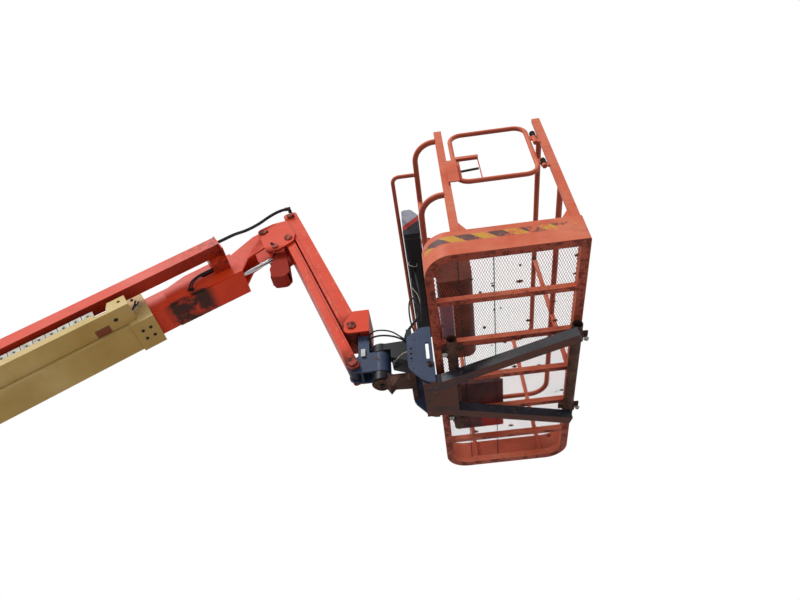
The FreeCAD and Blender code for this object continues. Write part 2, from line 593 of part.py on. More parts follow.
def support_arms():
    """Two box arms below the floor, spreading away from the rotator."""
    arms = []
    for side, start_y, end_y in ((-1, -125.0, -375.0), (1, 125.0, 345.0)):
        a, b = V(PLAT_X + 30, start_y, ARM_BOTTOM), V(RIGHT_TUBE_X, end_y, ARM_BOTTOM)
        along = (b - a).normalize()
        across = V(-along.y, along.x, 0) * (SUPPORT_ARM / 2)
        corners = [a - across, b - across, b + across, a + across]
        arms.append(Part.Face(Part.makePolygon(corners + corners[:1])).extrude(V(0, 0, SUPPORT_ARM)))
    joint = box(ARM_END + 40, PLAT_X + 98, -SIDE_PLATE_Y, SIDE_PLATE_Y, ARM_BOTTOM, ARM_BOTTOM + SUPPORT_ARM)
    return fuse([joint] + arms)


def cross_tubes():
    """Round tubes on the arms that the floor is clamped to."""
    z = ARM_BOTTOM + SUPPORT_ARM + SADDLE_R
    tubes = []
    for x in (LEFT_TUBE_X, RIGHT_TUBE_X):
        tube = rod((x, -CROSS_TUBE_HALF, z), (x, CROSS_TUBE_HALF, z), SADDLE_R)
        tubes.append(tube.cut(rod((x, -CROSS_TUBE_HALF - 1, z), (x, CROSS_TUBE_HALF + 1, z), SADDLE_R - 4)))
    return Part.makeCompound(tubes)


def tube_clamps():
    z = ARM_BOTTOM + SUPPORT_ARM + SADDLE_R
    clamps = []
    for x in (LEFT_TUBE_X, RIGHT_TUBE_X):
        for y in (-PLAT_L / BAR_COUNT, PLAT_L / BAR_COUNT):
            block = box(x - 24, x + 24, y - 28, y + 28, z, PLAT_Z)
            strap = rod((x, y - 22, z), (x, y + 22, z), SADDLE_R + 8)
            lugs = box(x - SADDLE_R - 30, x + SADDLE_R + 30, y - 22, y + 22, z - 3, z + 7)
            clamp = fuse([block, strap, lugs]).cut(rod((x, y - 60, z), (x, y + 60, z), SADDLE_R))
            for side in (-1, 1):
                bolt_x = x + side * (SADDLE_R + 19)
                bolt = rod((bolt_x, y, z - 10), (bolt_x, y, z + 14), 6)
                clamp = clamp.fuse(bolt)
            keep = box(x - 90, x + 90, y - 60, y + 60, z - SADDLE_R + 2, PLAT_Z)
            clamps.append(clamp.common(keep))
    return Part.makeCompound(clamps)


def floor_outline(inset, z0, z1, radius):
    x0, x1 = PLAT_X + inset, PLAT_X + PLAT_W - inset
    y0, y1 = PLAT_Y + inset, PLAT_Y + PLAT_L - inset
    sharp = max(SHARP_R - inset, 0)
    corners = [(x0, y0), (x1, y0), (x1, y1), (x0, y1)]
    return plan_slab(corners, [radius, sharp, radius, radius], z0, z1)


def floor_frame():
    """Tube ring with cross bars under the mesh."""
    ring = floor_outline(0, PLAT_Z, PLAT_Z + FLOOR_TUBE, CORNER_R)
    ring = ring.cut(floor_outline(FLOOR_TUBE, PLAT_Z - 1, PLAT_Z + FLOOR_TUBE + 1, CORNER_R - FLOOR_TUBE))
    bars = []
    for k in range(1, BAR_COUNT):
        y = PLAT_Y + k * PLAT_L / BAR_COUNT
        x0, x1 = PLAT_X + FLOOR_TUBE - 2, PLAT_X + PLAT_W - FLOOR_TUBE + 2
        bars.append(box(x0, x1, y - 15, y + 15, PLAT_Z, PLAT_Z + 30))
    return fuse([ring] + bars)


def floor_mesh():
    """Expanded-metal floor as one thin sheet."""
    top = PLAT_Z + FLOOR_TUBE
    return floor_outline(MESH_INSET, top, top + MESH_T, CORNER_R - MESH_INSET)


def toe_board():
    board = floor_outline(-TOE_T, PLAT_Z, PLAT_Z + TOE_H, CORNER_R + TOE_T)
    return board.cut(floor_outline(0, PLAT_Z - 1, PLAT_Z + TOE_H + 1, CORNER_R))


def rail_lines():
    """Plan lines of the rails: left, right, near and far."""
    return (PLAT_X + RAIL_IN, PLAT_X + PLAT_W - RAIL_IN, PLAT_Y + RAIL_IN, PLAT_Y + PLAT_L - RAIL_IN)


def side_rails():
    """Straight top and middle rails along both long sides."""
    x0, x1, y0, y1 = rail_lines()
    tubes = []
    for z in (PLAT_Z + TOP_RAIL, PLAT_Z + MID_RAIL):
        tubes.append(rod((x0, y0 + RAIL_BEND, z), (x0, y1 - RAIL_BEND, z), RAIL_R))
        tubes.append(rod((x1, y0 + POST_T, z), (x1, y1 - RAIL_BEND, z), RAIL_R))
    return Part.makeCompound(tubes)


def end_rails():
    """Straight rails across the far end, and the short ones beside the gate."""
    x0, x1, y0, y1 = rail_lines()
    gate_post = PLAT_X + POST_X - POST_W / 2
    tubes = []
    for z in (PLAT_Z + TOP_RAIL, PLAT_Z + MID_RAIL):
        tubes.append(rod((x0 + RAIL_BEND, y1, z), (x1 - RAIL_BEND, y1, z), RAIL_R))
        tubes.append(rod((x0 + RAIL_BEND, y0, z), (gate_post, y0, z), RAIL_R))
    return Part.makeCompound(tubes)


def rail_bends():
    """Quarter bends at the near-left corner and at both far corners."""
    x0, x1, y0, y1 = rail_lines()
    corners = ((x0 + RAIL_BEND, y0 + RAIL_BEND, 180), (x0 + RAIL_BEND, y1 - RAIL_BEND, 90),
               (x1 - RAIL_BEND, y1 - RAIL_BEND, 0))
    bends = []
    for z in (PLAT_Z + TOP_RAIL, PLAT_Z + MID_RAIL):
        for x, y, start in corners:
            centre = V(x, y, z)
            bend = Part.makeTorus(RAIL_BEND, RAIL_R, centre, V(0, 0, 1), -180, 180, 90)
            bend.rotate(centre, V(0, 0, 1), start)
            bends.append(bend)
    return Part.makeCompound(bends)


def side_posts():
    """Round posts along the sides and the far end, cut to sit on the rails."""
    base = PLAT_Z + FLOOR_TUBE + MESH_T
    high = PLAT_Z + TOP_RAIL
    rails = side_rails().Solids + end_rails().Solids
    posts = []
    for x, y in SIDE_POSTS:
        post = rod((PLAT_X + x, PLAT_Y + y, base), (PLAT_X + x, PLAT_Y + y, high), POST_R)
        posts += post.cut(rails).Solids
    return Part.makeCompound(posts)


def gate_posts():
    """Flat gate posts with gussets, the latch keeper on one and the hinge spindles on the other."""
    y = PLAT_Y + RAIL_IN
    base = PLAT_Z + FLOOR_TUBE + MESH_T
    top = PLAT_Z + POST_TOP
    left = PLAT_X + POST_X + POST_W / 2
    right = PLAT_X + PLAT_W - POST_W
    latch_post = box(left - POST_W, left, y - POST_T / 2, y + POST_T / 2, base, top)
    gusset = slab([(left, base), (left + 34, base), (left + 34, base + 150), (left, base + 210)],
                  [0, 0, 8, 0], y - 4, y + 4)
    keeper = box(left - 4, left + 48, y - 28, y - 22, PLAT_Z + 570, PLAT_Z + 770)
    web = box(left - 10, left - 2, y - 28, y, PLAT_Z + 570, PLAT_Z + 770)
    latch_side = fuse([latch_post, gusset, keeper, web])
    hinge_post = box(right, right + POST_W, y - POST_T / 2, y + POST_T, base, top)
    gusset = slab([(right - 40, base), (right, base), (right, base + 210), (right - 40, base + 150)],
                  [0, 0, 0, 8], y - 4, y + 4)
    hinge_side = [hinge_post, gusset]
    for height in GATE_HINGES:
        low = PLAT_Z + height - KNUCKLE / 2 - 1 - KNUCKLE
        hinge_side.append(box(GATE_PIN_X, right + 2, y - 5, y + 5, low, low + KNUCKLE))
        hinge_side.append(rod((GATE_PIN_X, y, low), (GATE_PIN_X, y, low + KNUCKLE), KNUCKLE_R))
        hinge_side.append(rod((GATE_PIN_X, y, low), (GATE_PIN_X, y, low + 2 * KNUCKLE + 6), GATE_PIN_R))
    return Part.makeCompound([latch_side, fuse(hinge_side)])


def gate():
    """Round tube loop that swings inward on two hinges."""
    y = PLAT_Y + RAIL_IN
    x0, x1 = PLAT_X + GATE_X0, GATE_PIN_X - GATE_TO_PIN
    z0, z1 = PLAT_Z + GATE_Z0, PLAT_Z + GATE_Z1
    centre = [V(x0, y, z0), V(x1, y, z0), V(x1, y, z1), V(x0, y, z1)]
    path = outline(centre, [GATE_BEND] * 4)
    first = path.OrderedVertexes[0].Point
    edge = path.OrderedEdges[0]
    direction = edge.tangentAt(edge.FirstParameter)
    ring = Part.Wire(Part.makeCircle(GATE_R, first, direction))
    loop = path.makePipeShell([ring], True, False)
    solids = [loop]
    for height in GATE_HINGES:
        low = PLAT_Z + height - KNUCKLE / 2
        knuckle = rod((GATE_PIN_X, y, low), (GATE_PIN_X, y, low + KNUCKLE), KNUCKLE_R)
        arm = box(x1, GATE_PIN_X, y - 5, y + 5, low, low + KNUCKLE)
        knuckle = knuckle.fuse(arm).cut(rod((GATE_PIN_X, y, low - 1), (GATE_PIN_X, y, low + KNUCKLE + 1),
                                            GATE_PIN_R + PIN_RUN))
        solids.append(knuckle)
    return fuse(solids)


def gate_handle():
    """U handle beside the latch."""
    y = PLAT_Y + RAIL_IN
    x0 = PLAT_X + GATE_X0
    low, high = PLAT_Z + GATE_HANDLE[0], PLAT_Z + GATE_HANDLE[1]
    seat = x0 + GATE_R + SLIDE_GAP
    points = [(seat, y, low), (x0 + 130, y, low), (x0 + 130, y, high), (seat, y, high)]
    return pipe(points, [40, 40], 8)


def on_platform(limits):
    """Box limits measured from the platform's corner, in the part's frame."""
    corner = (PLAT_X, PLAT_X, PLAT_Y, PLAT_Y, PLAT_Z, PLAT_Z)
    return [low + size for low, size in zip(corner, limits)]


def console_box():
    x0, x1, y0, y1, z0, z1 = on_platform(CONSOLE)
    side = [V(x0, y0, z0), V(x1, y0, z0), V(x1, y0, z1 - 70), V(x0 + 60, y0, z1), V(x0, y0, z1)]
    body = Part.Face(outline(side, [20, 20, 12, 20, 20])).extrude(V(0, y1 - y0, 0))
    knob_x, knob_z = x0 + 45, z1
    knob = Part.makeCone(24, 10, 60, V(knob_x, y0 + 60, knob_z - 1), V(0, 0, 1))
    return body.fuse(knob)


def console_brackets():
    """Plates that hang the console on the side rails."""
    hook = PLAT_X + RAIL_IN + RAIL_R + 2
    outer, inner = PLAT_X + CONSOLE[1], PLAT_X + STORAGE[0]
    rest = PLAT_Z + TOP_RAIL + RAIL_R + SLIDE_GAP
    foot, top = PLAT_Z + STORAGE[5] - 140, rest + 44
    plate = [(outer, rest), (outer, top), (inner, top), (inner, foot), (hook, foot), (hook, rest)]
    rounds = [0, 10, 14, 0, 8, 0]
    return Part.makeCompound([slab(plate, rounds, PLAT_Y + y, PLAT_Y + y + 8) for y in BRACKET_YS])


def console_guard():
    """Tube loop that stands out round the console."""
    x = PLAT_X + GUARD_X
    y0, y1 = PLAT_Y + GUARD_Y0, PLAT_Y + GUARD_Y1
    z = PLAT_Z + TOP_RAIL
    seat = PLAT_X + RAIL_IN - RAIL_R - SLIDE_GAP
    points = [(seat, y0, z), (x, y0, z), (x, y1, z), (seat, y1, z)]
    return pipe(points, [40, 40], 12)


def storage_box():
    """Deep box with a rounded bottom on the inside of the left rails."""
    x0, x1, y0, y1, z0, z1 = on_platform(STORAGE)
    outer = [V(x0, y0, z0), V(x1, y0, z0), V(x1, y0, z1), V(x0, y0, z1)]
    body = Part.Face(outline(outer, [30, 70, 0, 0])).extrude(V(0, y1 - y0, 0))
    inner = [V(x0 + 4, y0 + 4, z0 + 4), V(x1 - 4, y0 + 4, z0 + 4), V(x1 - 4, y0 + 4, z1 + 1),
             V(x0 + 4, y0 + 4, z1 + 1)]
    return body.cut(Part.Face(outline(inner, [26, 66, 0, 0])).extrude(V(0, y1 - y0 - 8, 0)))


def foot_switch():
    x0, x1, y0, y1, z0, z1 = on_platform(FOOT_SWITCH)
    base = box(x0, x1, y0, y1, z0, z0 + 14)
    hood = [V(x0 + 10, y0 + 10, z0 + 13), V(x1 - 10, y0 + 10, z0 + 13), V(x1 - 10, y0 + 10, z1 - 40),
            V(x1 - 60, y0 + 10, z1), V(x0 + 10, y0 + 10, z1)]
    shell = Part.Face(outline(hood, [0, 0, 14, 20, 20])).extrude(V(0, y1 - y0 - 20, 0))
    mouth = box(x0 + 40, x1, y0 + 24, y1 - 24, z0 + 14, z1 - 14)
    return fuse([base, shell.cut(mouth)])


def jib_hoses():
    """Hose bundle from the push tube over the levelling pivot to the jib's upper pin."""
    start = boom_point(PUSH_END + 5, PUSH_TOP - 30)
    x, z = UP_TOP
    side = -HOSE_PLANE
    points = [(start[0], PUSH_NEAR + 32, start[1]), (start[0] + 48, PUSH_NEAR + 33, start[1] + 30),
              (start[0] + 96, PUSH_NEAR + 55, start[1] + 100), (start[0] + 152, side - 33, start[1] + 192),
              (start[0] + 222, side - 2, start[1] + 292), (x - 157, side, z - 54), (x - 107, side, z - 10),
              (x - 62, side, z + 16), (x - BLOCK_HALF - 3, side, z + 24)]
    return cable(points, HOSE_R)


def hose_block():
    """Clamp block at the hoses' end, beside the upper bar's pin."""
    x, z = UP_TOP
    face = -(BAR_HALF + 1 + PIN_HEAD) - SLIDE_GAP
    return box(x - BLOCK_HALF, x + BLOCK_HALF, -HOSE_PLANE - 18, face, z - 6, z + 42)


def fly_hoses():
    """Two thin hoses that loop from the push tube's bracket down to the fly's side."""
    start, low = PUSH_END - 105.5, PUSH_BOTTOM - 40
    side = -FLY_WIDTH / 2 - HEAD_PLATE
    route = [(0, 35, 0), (55, 38, 2), (110, 46, 14), (160, 50, 36), (194, 33, 52), (202, 2, 56)]
    points = []
    for back, out, drop in route:
        x, z = boom_point(start - back, low - drop)
        points.append((x, side - out, z))
    return cable(points, THIN_HOSE_R)


def platform_cable():
    """Cable from the rotator's upper arm to the console."""
    x = ARM_END - 8
    z = HUB_TOP
    console = PLAT_Z + CONSOLE[4]
    y = CABLE_Y
    points = [(x - 40, y, z), (x - 34, y - 4, z + 60), (x + 14, y - 16, z + 120), (x + 60, y - 20, z + 180),
              (x + 66, y - 10, z + 260), (x + 40, y, z + 350), (x + 30, y + 6, z + 450),
              (x + 36, y + 4, console)]
    return cable(points, CABLE_R)


def main():
    for name, make in NODES.items():
        shape = make()
        shape.exportStep("parts/" + name + ".step")
        print(name, len(shape.Solids), shape.isValid(), round(shape.Volume / 1e6, 3))


NODES = {
    "base_boom": base_boom, "wear_pads": wear_pads, "track_tray": track_tray, "power_track": power_track,
    "tube_guide": tube_guide, "fly_boom": fly_boom, "push_tube": push_tube, "level_barrel": level_barrel,
    "jib_hoses": jib_hoses, "hose_block": hose_block, "fly_hoses": fly_hoses, "level_rod": level_rod,
    "jib_base_bracket": jib_base_bracket, "level_eye": level_eye, "level_pins": level_pins,
    "bracket_jib_pins": bracket_jib_pins, "jib_lower_bar": jib_lower_bar, "jib_upper_bar": jib_upper_bar,
    "rotator_bracket": rotator_bracket, "end_clevis": end_clevis, "end_jib_pins": end_jib_pins,
    "rotator_shaft": rotator_shaft, "upper_arm": upper_arm, "lower_arm": lower_arm,
    "support_side_plates": support_side_plates, "support_arms": support_arms, "cross_tubes": cross_tubes,
    "tube_clamps": tube_clamps, "floor_frame": floor_frame, "floor_mesh": floor_mesh, "toe_board": toe_board,
    "side_rails": side_rails, "end_rails": end_rails, "rail_bends": rail_bends,
    "side_posts": side_posts, "gate_posts": gate_posts, "gate": gate, "gate_handle": gate_handle,
    "console_box": console_box,
    "console_brackets": console_brackets, "console_guard": console_guard, "storage_box": storage_box,
    "foot_switch": foot_switch, "platform_cable": platform_cable,
}

main()
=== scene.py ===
import bpy
import math
import random
from mathutils import Matrix, Vector


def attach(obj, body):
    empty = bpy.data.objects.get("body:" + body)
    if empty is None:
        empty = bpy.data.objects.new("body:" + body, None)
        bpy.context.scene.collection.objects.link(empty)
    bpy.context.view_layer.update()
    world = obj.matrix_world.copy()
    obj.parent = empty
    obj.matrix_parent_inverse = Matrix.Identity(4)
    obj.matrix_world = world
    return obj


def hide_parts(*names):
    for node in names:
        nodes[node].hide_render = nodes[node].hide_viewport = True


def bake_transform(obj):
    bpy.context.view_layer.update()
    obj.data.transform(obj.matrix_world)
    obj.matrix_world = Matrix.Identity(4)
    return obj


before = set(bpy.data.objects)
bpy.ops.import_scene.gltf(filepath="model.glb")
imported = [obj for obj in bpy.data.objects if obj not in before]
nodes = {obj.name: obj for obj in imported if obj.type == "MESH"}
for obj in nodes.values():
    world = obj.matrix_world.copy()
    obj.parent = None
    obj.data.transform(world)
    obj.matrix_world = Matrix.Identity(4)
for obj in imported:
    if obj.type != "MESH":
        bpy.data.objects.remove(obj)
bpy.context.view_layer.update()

# View: taken from the ground below the platform, looking up at the jib and
# the underside of the floor. The place is in the boom foot's frame, metres.
EYE = Vector((4.5813, -2.7452, -1.2478))
YAW, PITCH, ROLL = math.radians(4.28), math.radians(45.58), math.radians(-3.84)
LENS = 27.67
camera = bpy.data.objects.new("view", bpy.data.cameras.new("view"))
bpy.context.scene.collection.objects.link(camera)
turn = (Matrix.Rotation(YAW, 3, "Z") @ Matrix.Rotation(math.pi / 2 + PITCH, 3, "X")
        @ Matrix.Rotation(ROLL, 3, "Z"))
camera.matrix_world = Matrix.Translation(EYE) @ turn.to_4x4()
camera.data.lens = LENS
camera.data.sensor_width = 36.0
camera.data.clip_end = 100.0
bpy.context.scene.camera = camera

# Daylight under thin cloud: a broad weak sun from high behind the camera and
# an even pale sky all round, with white behind the object.
SUN_ENERGY, SUN_SPREAD, SUN_TURN = 1.9, math.radians(20), (48, -10, -24)
SKY_LIGHT, SKY_SEEN = ((0.93, 0.96, 1.0, 1), 0.5), ((1, 1, 1, 1), 1.0)
sun = bpy.data.objects.new("sun", bpy.data.lights.new("sun", "SUN"))
sun.data.energy, sun.data.angle = SUN_ENERGY, SUN_SPREAD
sun.rotation_euler = [math.radians(angle) for angle in SUN_TURN]
bpy.context.scene.collection.objects.link(sun)
world = bpy.data.worlds.new("sky")
bpy.context.scene.world = world
world.use_nodes = True
sky = world.node_tree
sky.nodes.clear()
rays = sky.nodes.new("ShaderNodeLightPath")
seen = rays.outputs["Is Camera Ray"]
for other_ray in ("Is Glossy Ray", "Is Transmission Ray"):
    either = sky.nodes.new("ShaderNodeMath")
    either.operation = "MAXIMUM"
    sky.links.new(seen, either.inputs[0])
    sky.links.new(rays.outputs[other_ray], either.inputs[1])
    seen = either.outputs[0]
sky_mix = sky.nodes.new("ShaderNodeMixShader")
sky.links.new(seen, sky_mix.inputs[0])
for place, (colour, strength) in enumerate((SKY_LIGHT, SKY_SEEN), start=1):
    light = sky.nodes.new("ShaderNodeBackground")
    light.inputs["Color"].default_value = colour
    light.inputs["Strength"].default_value = strength
    sky.links.new(light.outputs[0], sky_mix.inputs[place])
sky.links.new(sky_mix.outputs[0], sky.nodes.new("ShaderNodeOutputWorld").inputs["Surface"])
bpy.context.scene.view_settings.view_transform = "Standard"


# Base section: a box welded from cream plate with a thicker collar at its
# mouth. The hose tray beside it is folded from the same plate. Both are
# painted darker tan below as shade, with some grime, and rust where the paint
# has worn through.
class Wire:
    """A shader socket that takes part in sums."""

    def __init__(self, sheet, socket):
        self.sheet, self.socket = sheet, socket

    def math(self, kind, a, b, clamp=False):
        return self.sheet.add("ShaderNodeMath", {"operation": kind, "use_clamp": clamp}, [a, b])

    def __add__(self, other):
        return self.math("ADD", self, other)

    def __radd__(self, other):
        return self.math("ADD", other, self)

    def __sub__(self, other):
        return self.math("SUBTRACT", self, other)

    def __rsub__(self, other):
        return self.math("SUBTRACT", other, self)

    def __mul__(self, other):
        return self.math("MULTIPLY", self, other)

    def __rmul__(self, other):
        return self.math("MULTIPLY", other, self)

    def fraction(self):
        """What is left after the whole number, for a pattern that repeats."""
        return self.sheet.add("ShaderNodeMath", {"operation": "FRACT"}, [self])

    def above(self, low, high):
        """0 up to low, 1 from high on."""
        return self.math("MULTIPLY", self - low, 1.0 / (high - low), clamp=True)

    def inside(self, low, high, soft):
        """1 between low and high, with soft edges."""
        return self.above(low - soft, low + soft) * (1 - self.above(high - soft, high + soft))


class Finish:
    """One painted or moulded surface, on the piece's own coordinates."""

    DULLED_BY_WEAR, RELIEF = 0.3, 0.7

    def __init__(self, name, rough, metal=0.0, specular=0.22):
        self.material = bpy.data.materials.new(name)
        self.material.use_nodes = True
        self.tree = self.material.node_tree
        self.shader = self.tree.nodes["Principled BSDF"]
        self.shader.inputs["Roughness"].default_value = rough
        self.shader.inputs["Metallic"].default_value = metal
        self.shader.inputs["Specular IOR Level"].default_value = specular
        self.rough = rough
        self.place = self.add("ShaderNodeTexCoord", {}, [], "Object")

    def add(self, kind, settings, values, out=0):
        """A node of this kind, with its settings and the values or links of its sockets."""
        node = self.tree.nodes.new(kind)
        for key, value in settings.items():
            setattr(node, key, value)
        for key, value in values.items() if isinstance(values, dict) else enumerate(values):
            if isinstance(value, Wire):
                self.tree.links.new(value.socket, node.inputs[key])
            else:
                node.inputs[key].default_value = value
        return Wire(self, node.outputs[out])

    def noise(self, scale, detail=4.0, stretch=(1, 1, 1), rough=0.55):
        """Cloudy patches from 0 to 1, scale of them to a metre."""
        place = self.add("ShaderNodeMapping", {}, {"Vector": self.place, "Scale": stretch})
        return self.add("ShaderNodeTexNoise", {}, {"Vector": place, "Scale": scale, "Detail": detail,
                                                   "Roughness": rough})

    def mix(self, mask, a, b):
        """Colour a where the mask is 0 and b where it is 1."""
        a, b = (c if isinstance(c, Wire) else (*c, 1.0) for c in (a, b))
        return self.add("ShaderNodeMix", {"data_type": "RGBA"}, {0: mask, 6: a, 7: b}, 2)

    def axis(self, name):
        """Place along X, Y or Z, metres."""
        return self.add("ShaderNodeSeparateXYZ", {}, [self.place], name)

    def facing(self, name):
        """How far the surface faces along an axis, from -1 to 1."""
        normal = self.add("ShaderNodeTexCoord", {}, [], "Normal")
        return self.add("ShaderNodeSeparateXYZ", {}, [normal], name)

    def below(self):
        """1 where the surface faces down."""
        return (0 - self.facing("Z")).above(0.15, 0.85)

    def done(self, colour, wear=None, grain=None, depth=0.0005):
        """Connects colour; wear makes it duller and grain gives it relief."""
        self.tree.links.new(colour.socket, self.shader.inputs["Base Color"])
        if wear is not None:
            self.tree.links.new((self.rough + wear * self.DULLED_BY_WEAR).socket, self.shader.inputs["Roughness"])
        if grain is not None:
            bump = self.add("ShaderNodeBump", {}, {"Height": grain, "Distance": depth,
                                                   "Strength": self.RELIEF})
            self.tree.links.new(bump.socket, self.shader.inputs["Normal"])
        return self.material


def srgb(r, g, b):
    """Linear colour from 0 to 255 display values."""
    return tuple(c / 3294.6 if c <= 10 else ((c / 255 + 0.055) / 1.055) ** 2.4 for c in (r, g, b))


CHIP_EDGE, STREAK_SHARE, CHIPS_ABOVE = 0.04, 0.3, 0.4


def worn(finish, paint, grime, rust, chip, shade_and_grime_below):
    """Streaks paint with grime, darkens it below with painted shade and some grime, and chips it to rust.

    chip is the noise level where a chip begins: the lower, the more chips.
    """
    patch = finish.noise(2.4, 5.0).above(0.38, 0.7)
    streak = finish.noise(7.0, 6.0, (1, 1, 6)).above(0.5, 0.85)
    below = finish.below()
    speck = finish.noise(38.0, 7.0, rough=0.72).above(chip, chip + CHIP_EDGE)
    colour = finish.mix(streak * STREAK_SHARE, paint, grime)
    # Painted shade, with some grime: faces that point down are darkened towards the grime colour.
    colour = finish.mix(below * (patch * 0.35 + 0.65) * shade_and_grime_below, colour, grime)
    bare = speck * (below * (1 - CHIPS_ABOVE) + CHIPS_ABOVE)
    colour = finish.mix(bare, colour, rust)
    orange_peel = finish.noise(190.0, 3.0)
    return colour, bare + patch * 0.3, orange_peel * 0.2 - bare


def dress(material, *names):
    """Gives solid nodes their finish."""
    for name in names:
        nodes[name].data.materials.clear()
        nodes[name].data.materials.append(material)
        for polygon in nodes[name].data.polygons:
            polygon.material_index = 0


def boom_length(finish):
    """How far out along the boom a point of the surface lies, metres."""
    return finish.axis("X") * math.cos(BOOM_ANGLE) + finish.axis("Z") * math.sin(BOOM_ANGLE)


def boom_height(finish):
    """How far it lies above the boom's middle line, square to it, metres."""
    return finish.axis("Z") * math.cos(BOOM_ANGLE) - finish.axis("X") * math.sin(BOOM_ANGLE)


BOOM_ANGLE = math.radians(32)
CREAM, CREAM_LIT, TAN = srgb(204, 176, 108), srgb(222, 198, 140), srgb(162, 126, 62)
RUST, BARE_RED = srgb(96, 56, 36), srgb(120, 62, 40)
base_paint = Finish("cream_paint", 0.5)
fade = base_paint.noise(3.0, 4.0).above(0.35, 0.7)
dress(base_paint.done(*worn(base_paint, base_paint.mix(fade, CREAM, CREAM_LIT), TAN, RUST,
                            chip=0.72, shade_and_grime_below=0.9)), "base_boom", "tube_guide")

# Tray end: near its mouth the tray's floor is cut away to red primer, and a
# lifting hole is drilled through it. The hole is a painted dark disc, the shade
# inside it.
CUT_U, CUT_Y, CUT_EDGE = (2.858, 2.95), (-0.177, -0.1), 0.002
HOLE_U, HOLE_Y, HOLE_RADIUS = 3.001, -0.188, 0.014
HOLE_SHADE = srgb(28, 22, 20)
tray_paint = Finish("tray_paint", 0.5)
fade = tray_paint.noise(3.0, 4.0).above(0.35, 0.7)
u, y = boom_length(tray_paint), tray_paint.axis("Y")
floor_side = (0 - tray_paint.facing("Z")).above(0.5, 0.7)
window = u.inside(*CUT_U, CUT_EDGE) * y.inside(*CUT_Y, CUT_EDGE) * floor_side
off = (u - HOLE_U) * (u - HOLE_U) + (y - HOLE_Y) * (y - HOLE_Y)
# Painted shade: a near-black disc on the tray's floor stands for the hole.
hole_shade = (1 - off.above(HOLE_RADIUS ** 2 * 0.9, HOLE_RADIUS ** 2 * 1.1)) * floor_side
colour, wear, grain = worn(tray_paint, tray_paint.mix(fade, CREAM, CREAM_LIT), TAN, RUST,
                           chip=0.69, shade_and_grime_below=0.85)
colour = tray_paint.mix(hole_shade, tray_paint.mix(window, colour, BARE_RED), HOLE_SHADE)
dress(tray_paint.done(colour, wear, grain - window - hole_shade), "track_tray")


# Collar screws: black socket screws hold the wear pads, four below and one
# on each side. Each is a turned head with a hollow, on a washer.
def in_boom(u, y, v):
    """Place in the boom's own lengthwise frame, metres."""
    return Vector((u * math.cos(BOOM_ANGLE) - v * math.sin(BOOM_ANGLE), y,
                   u * math.sin(BOOM_ANGLE) + v * math.cos(BOOM_ANGLE)))


def added(make, name, **settings):
    """A new primitive, alone in the selection."""
    bpy.ops.object.select_all(action="DESELECT")
    make(**settings)
    piece = bpy.context.object
    piece.name = piece.data.name = name
    return piece


def choose(piece, test):
    """Into edit mode with the faces whose centre and normal pass the test."""
    bpy.ops.object.mode_set(mode="EDIT")
    bpy.ops.mesh.select_mode(type="FACE")
    bpy.ops.mesh.select_all(action="DESELECT")
    bpy.ops.object.mode_set(mode="OBJECT")
    for face in piece.data.polygons:
        face.select = test(face.center, face.normal)
    bpy.ops.object.mode_set(mode="EDIT")


def softened(piece, width, segments=2):
    """Rounds the edges by a bevel and applies it."""
    bevel = piece.modifiers.new("edges", "BEVEL")
    bevel.width, bevel.segments, bevel.limit_method = width, segments, "ANGLE"
    bpy.context.view_layer.objects.active = piece
    bpy.ops.object.modifier_apply(modifier="edges")


def joined(pieces, name):
    """Makes one mesh of the pieces, with its place in the mesh."""
    bpy.ops.object.select_all(action="DESELECT")
    for piece in pieces:
        piece.select_set(True)
    bpy.context.view_layer.objects.active = pieces[0]
    if len(pieces) > 1:
        bpy.ops.object.join()
    whole = bpy.context.object
    whole.name = whole.data.name = name
    bpy.ops.object.transform_apply(location=True, rotation=True, scale=True)
    return whole


def fitted(piece, material, body, slot, *replaced):
    """Gives a finished piece its surface and its body, and hides the nodes it replaces; slot is not used."""
    bpy.ops.object.select_all(action="DESELECT")
    piece.select_set(True)
    bpy.context.view_layer.objects.active = piece
    bpy.ops.object.transform_apply(location=True, rotation=True, scale=True)
    bpy.ops.object.shade_smooth_by_angle(angle=math.radians(35))
    piece.data.materials.clear()
    piece.data.materials.append(material)
    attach(piece, body)
    if replaced:
        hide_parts(*replaced)
    return piece


def screws(name, places, facing, radius):
    """Heads with a hollow on washers, modelled once and copied to each place."""
    head = added(bpy.ops.mesh.primitive_cylinder_add, "head", vertices=24, radius=radius,
                 depth=radius * 0.8, location=(0, 0, radius * 0.55))
    choose(head, lambda centre, normal: normal.z > 0.9)
    bpy.ops.mesh.inset(thickness=radius * 0.35)
    bpy.ops.mesh.extrude_region_move(TRANSFORM_OT_translate={"value": (0, 0, -radius * 0.45)})
    bpy.ops.object.mode_set(mode="OBJECT")
    washer = added(bpy.ops.mesh.primitive_cylinder_add, "washer", vertices=24, radius=radius * 1.5,
                   depth=radius * 0.2, location=(0, 0, radius * 0.1))
    softened(washer, radius * 0.06)
    pattern = joined([head, washer], name)
    turn = Vector(facing).to_track_quat("Z", "Y").to_matrix().to_4x4()
    copies = []
    for place in places:
        copy = bpy.data.objects.new(name, pattern.data.copy())
        copy.matrix_world = Matrix.Translation(place) @ turn
        bpy.context.scene.collection.objects.link(copy)
        copies.append(copy)
    bpy.data.objects.remove(pattern)
    return joined(copies, name)


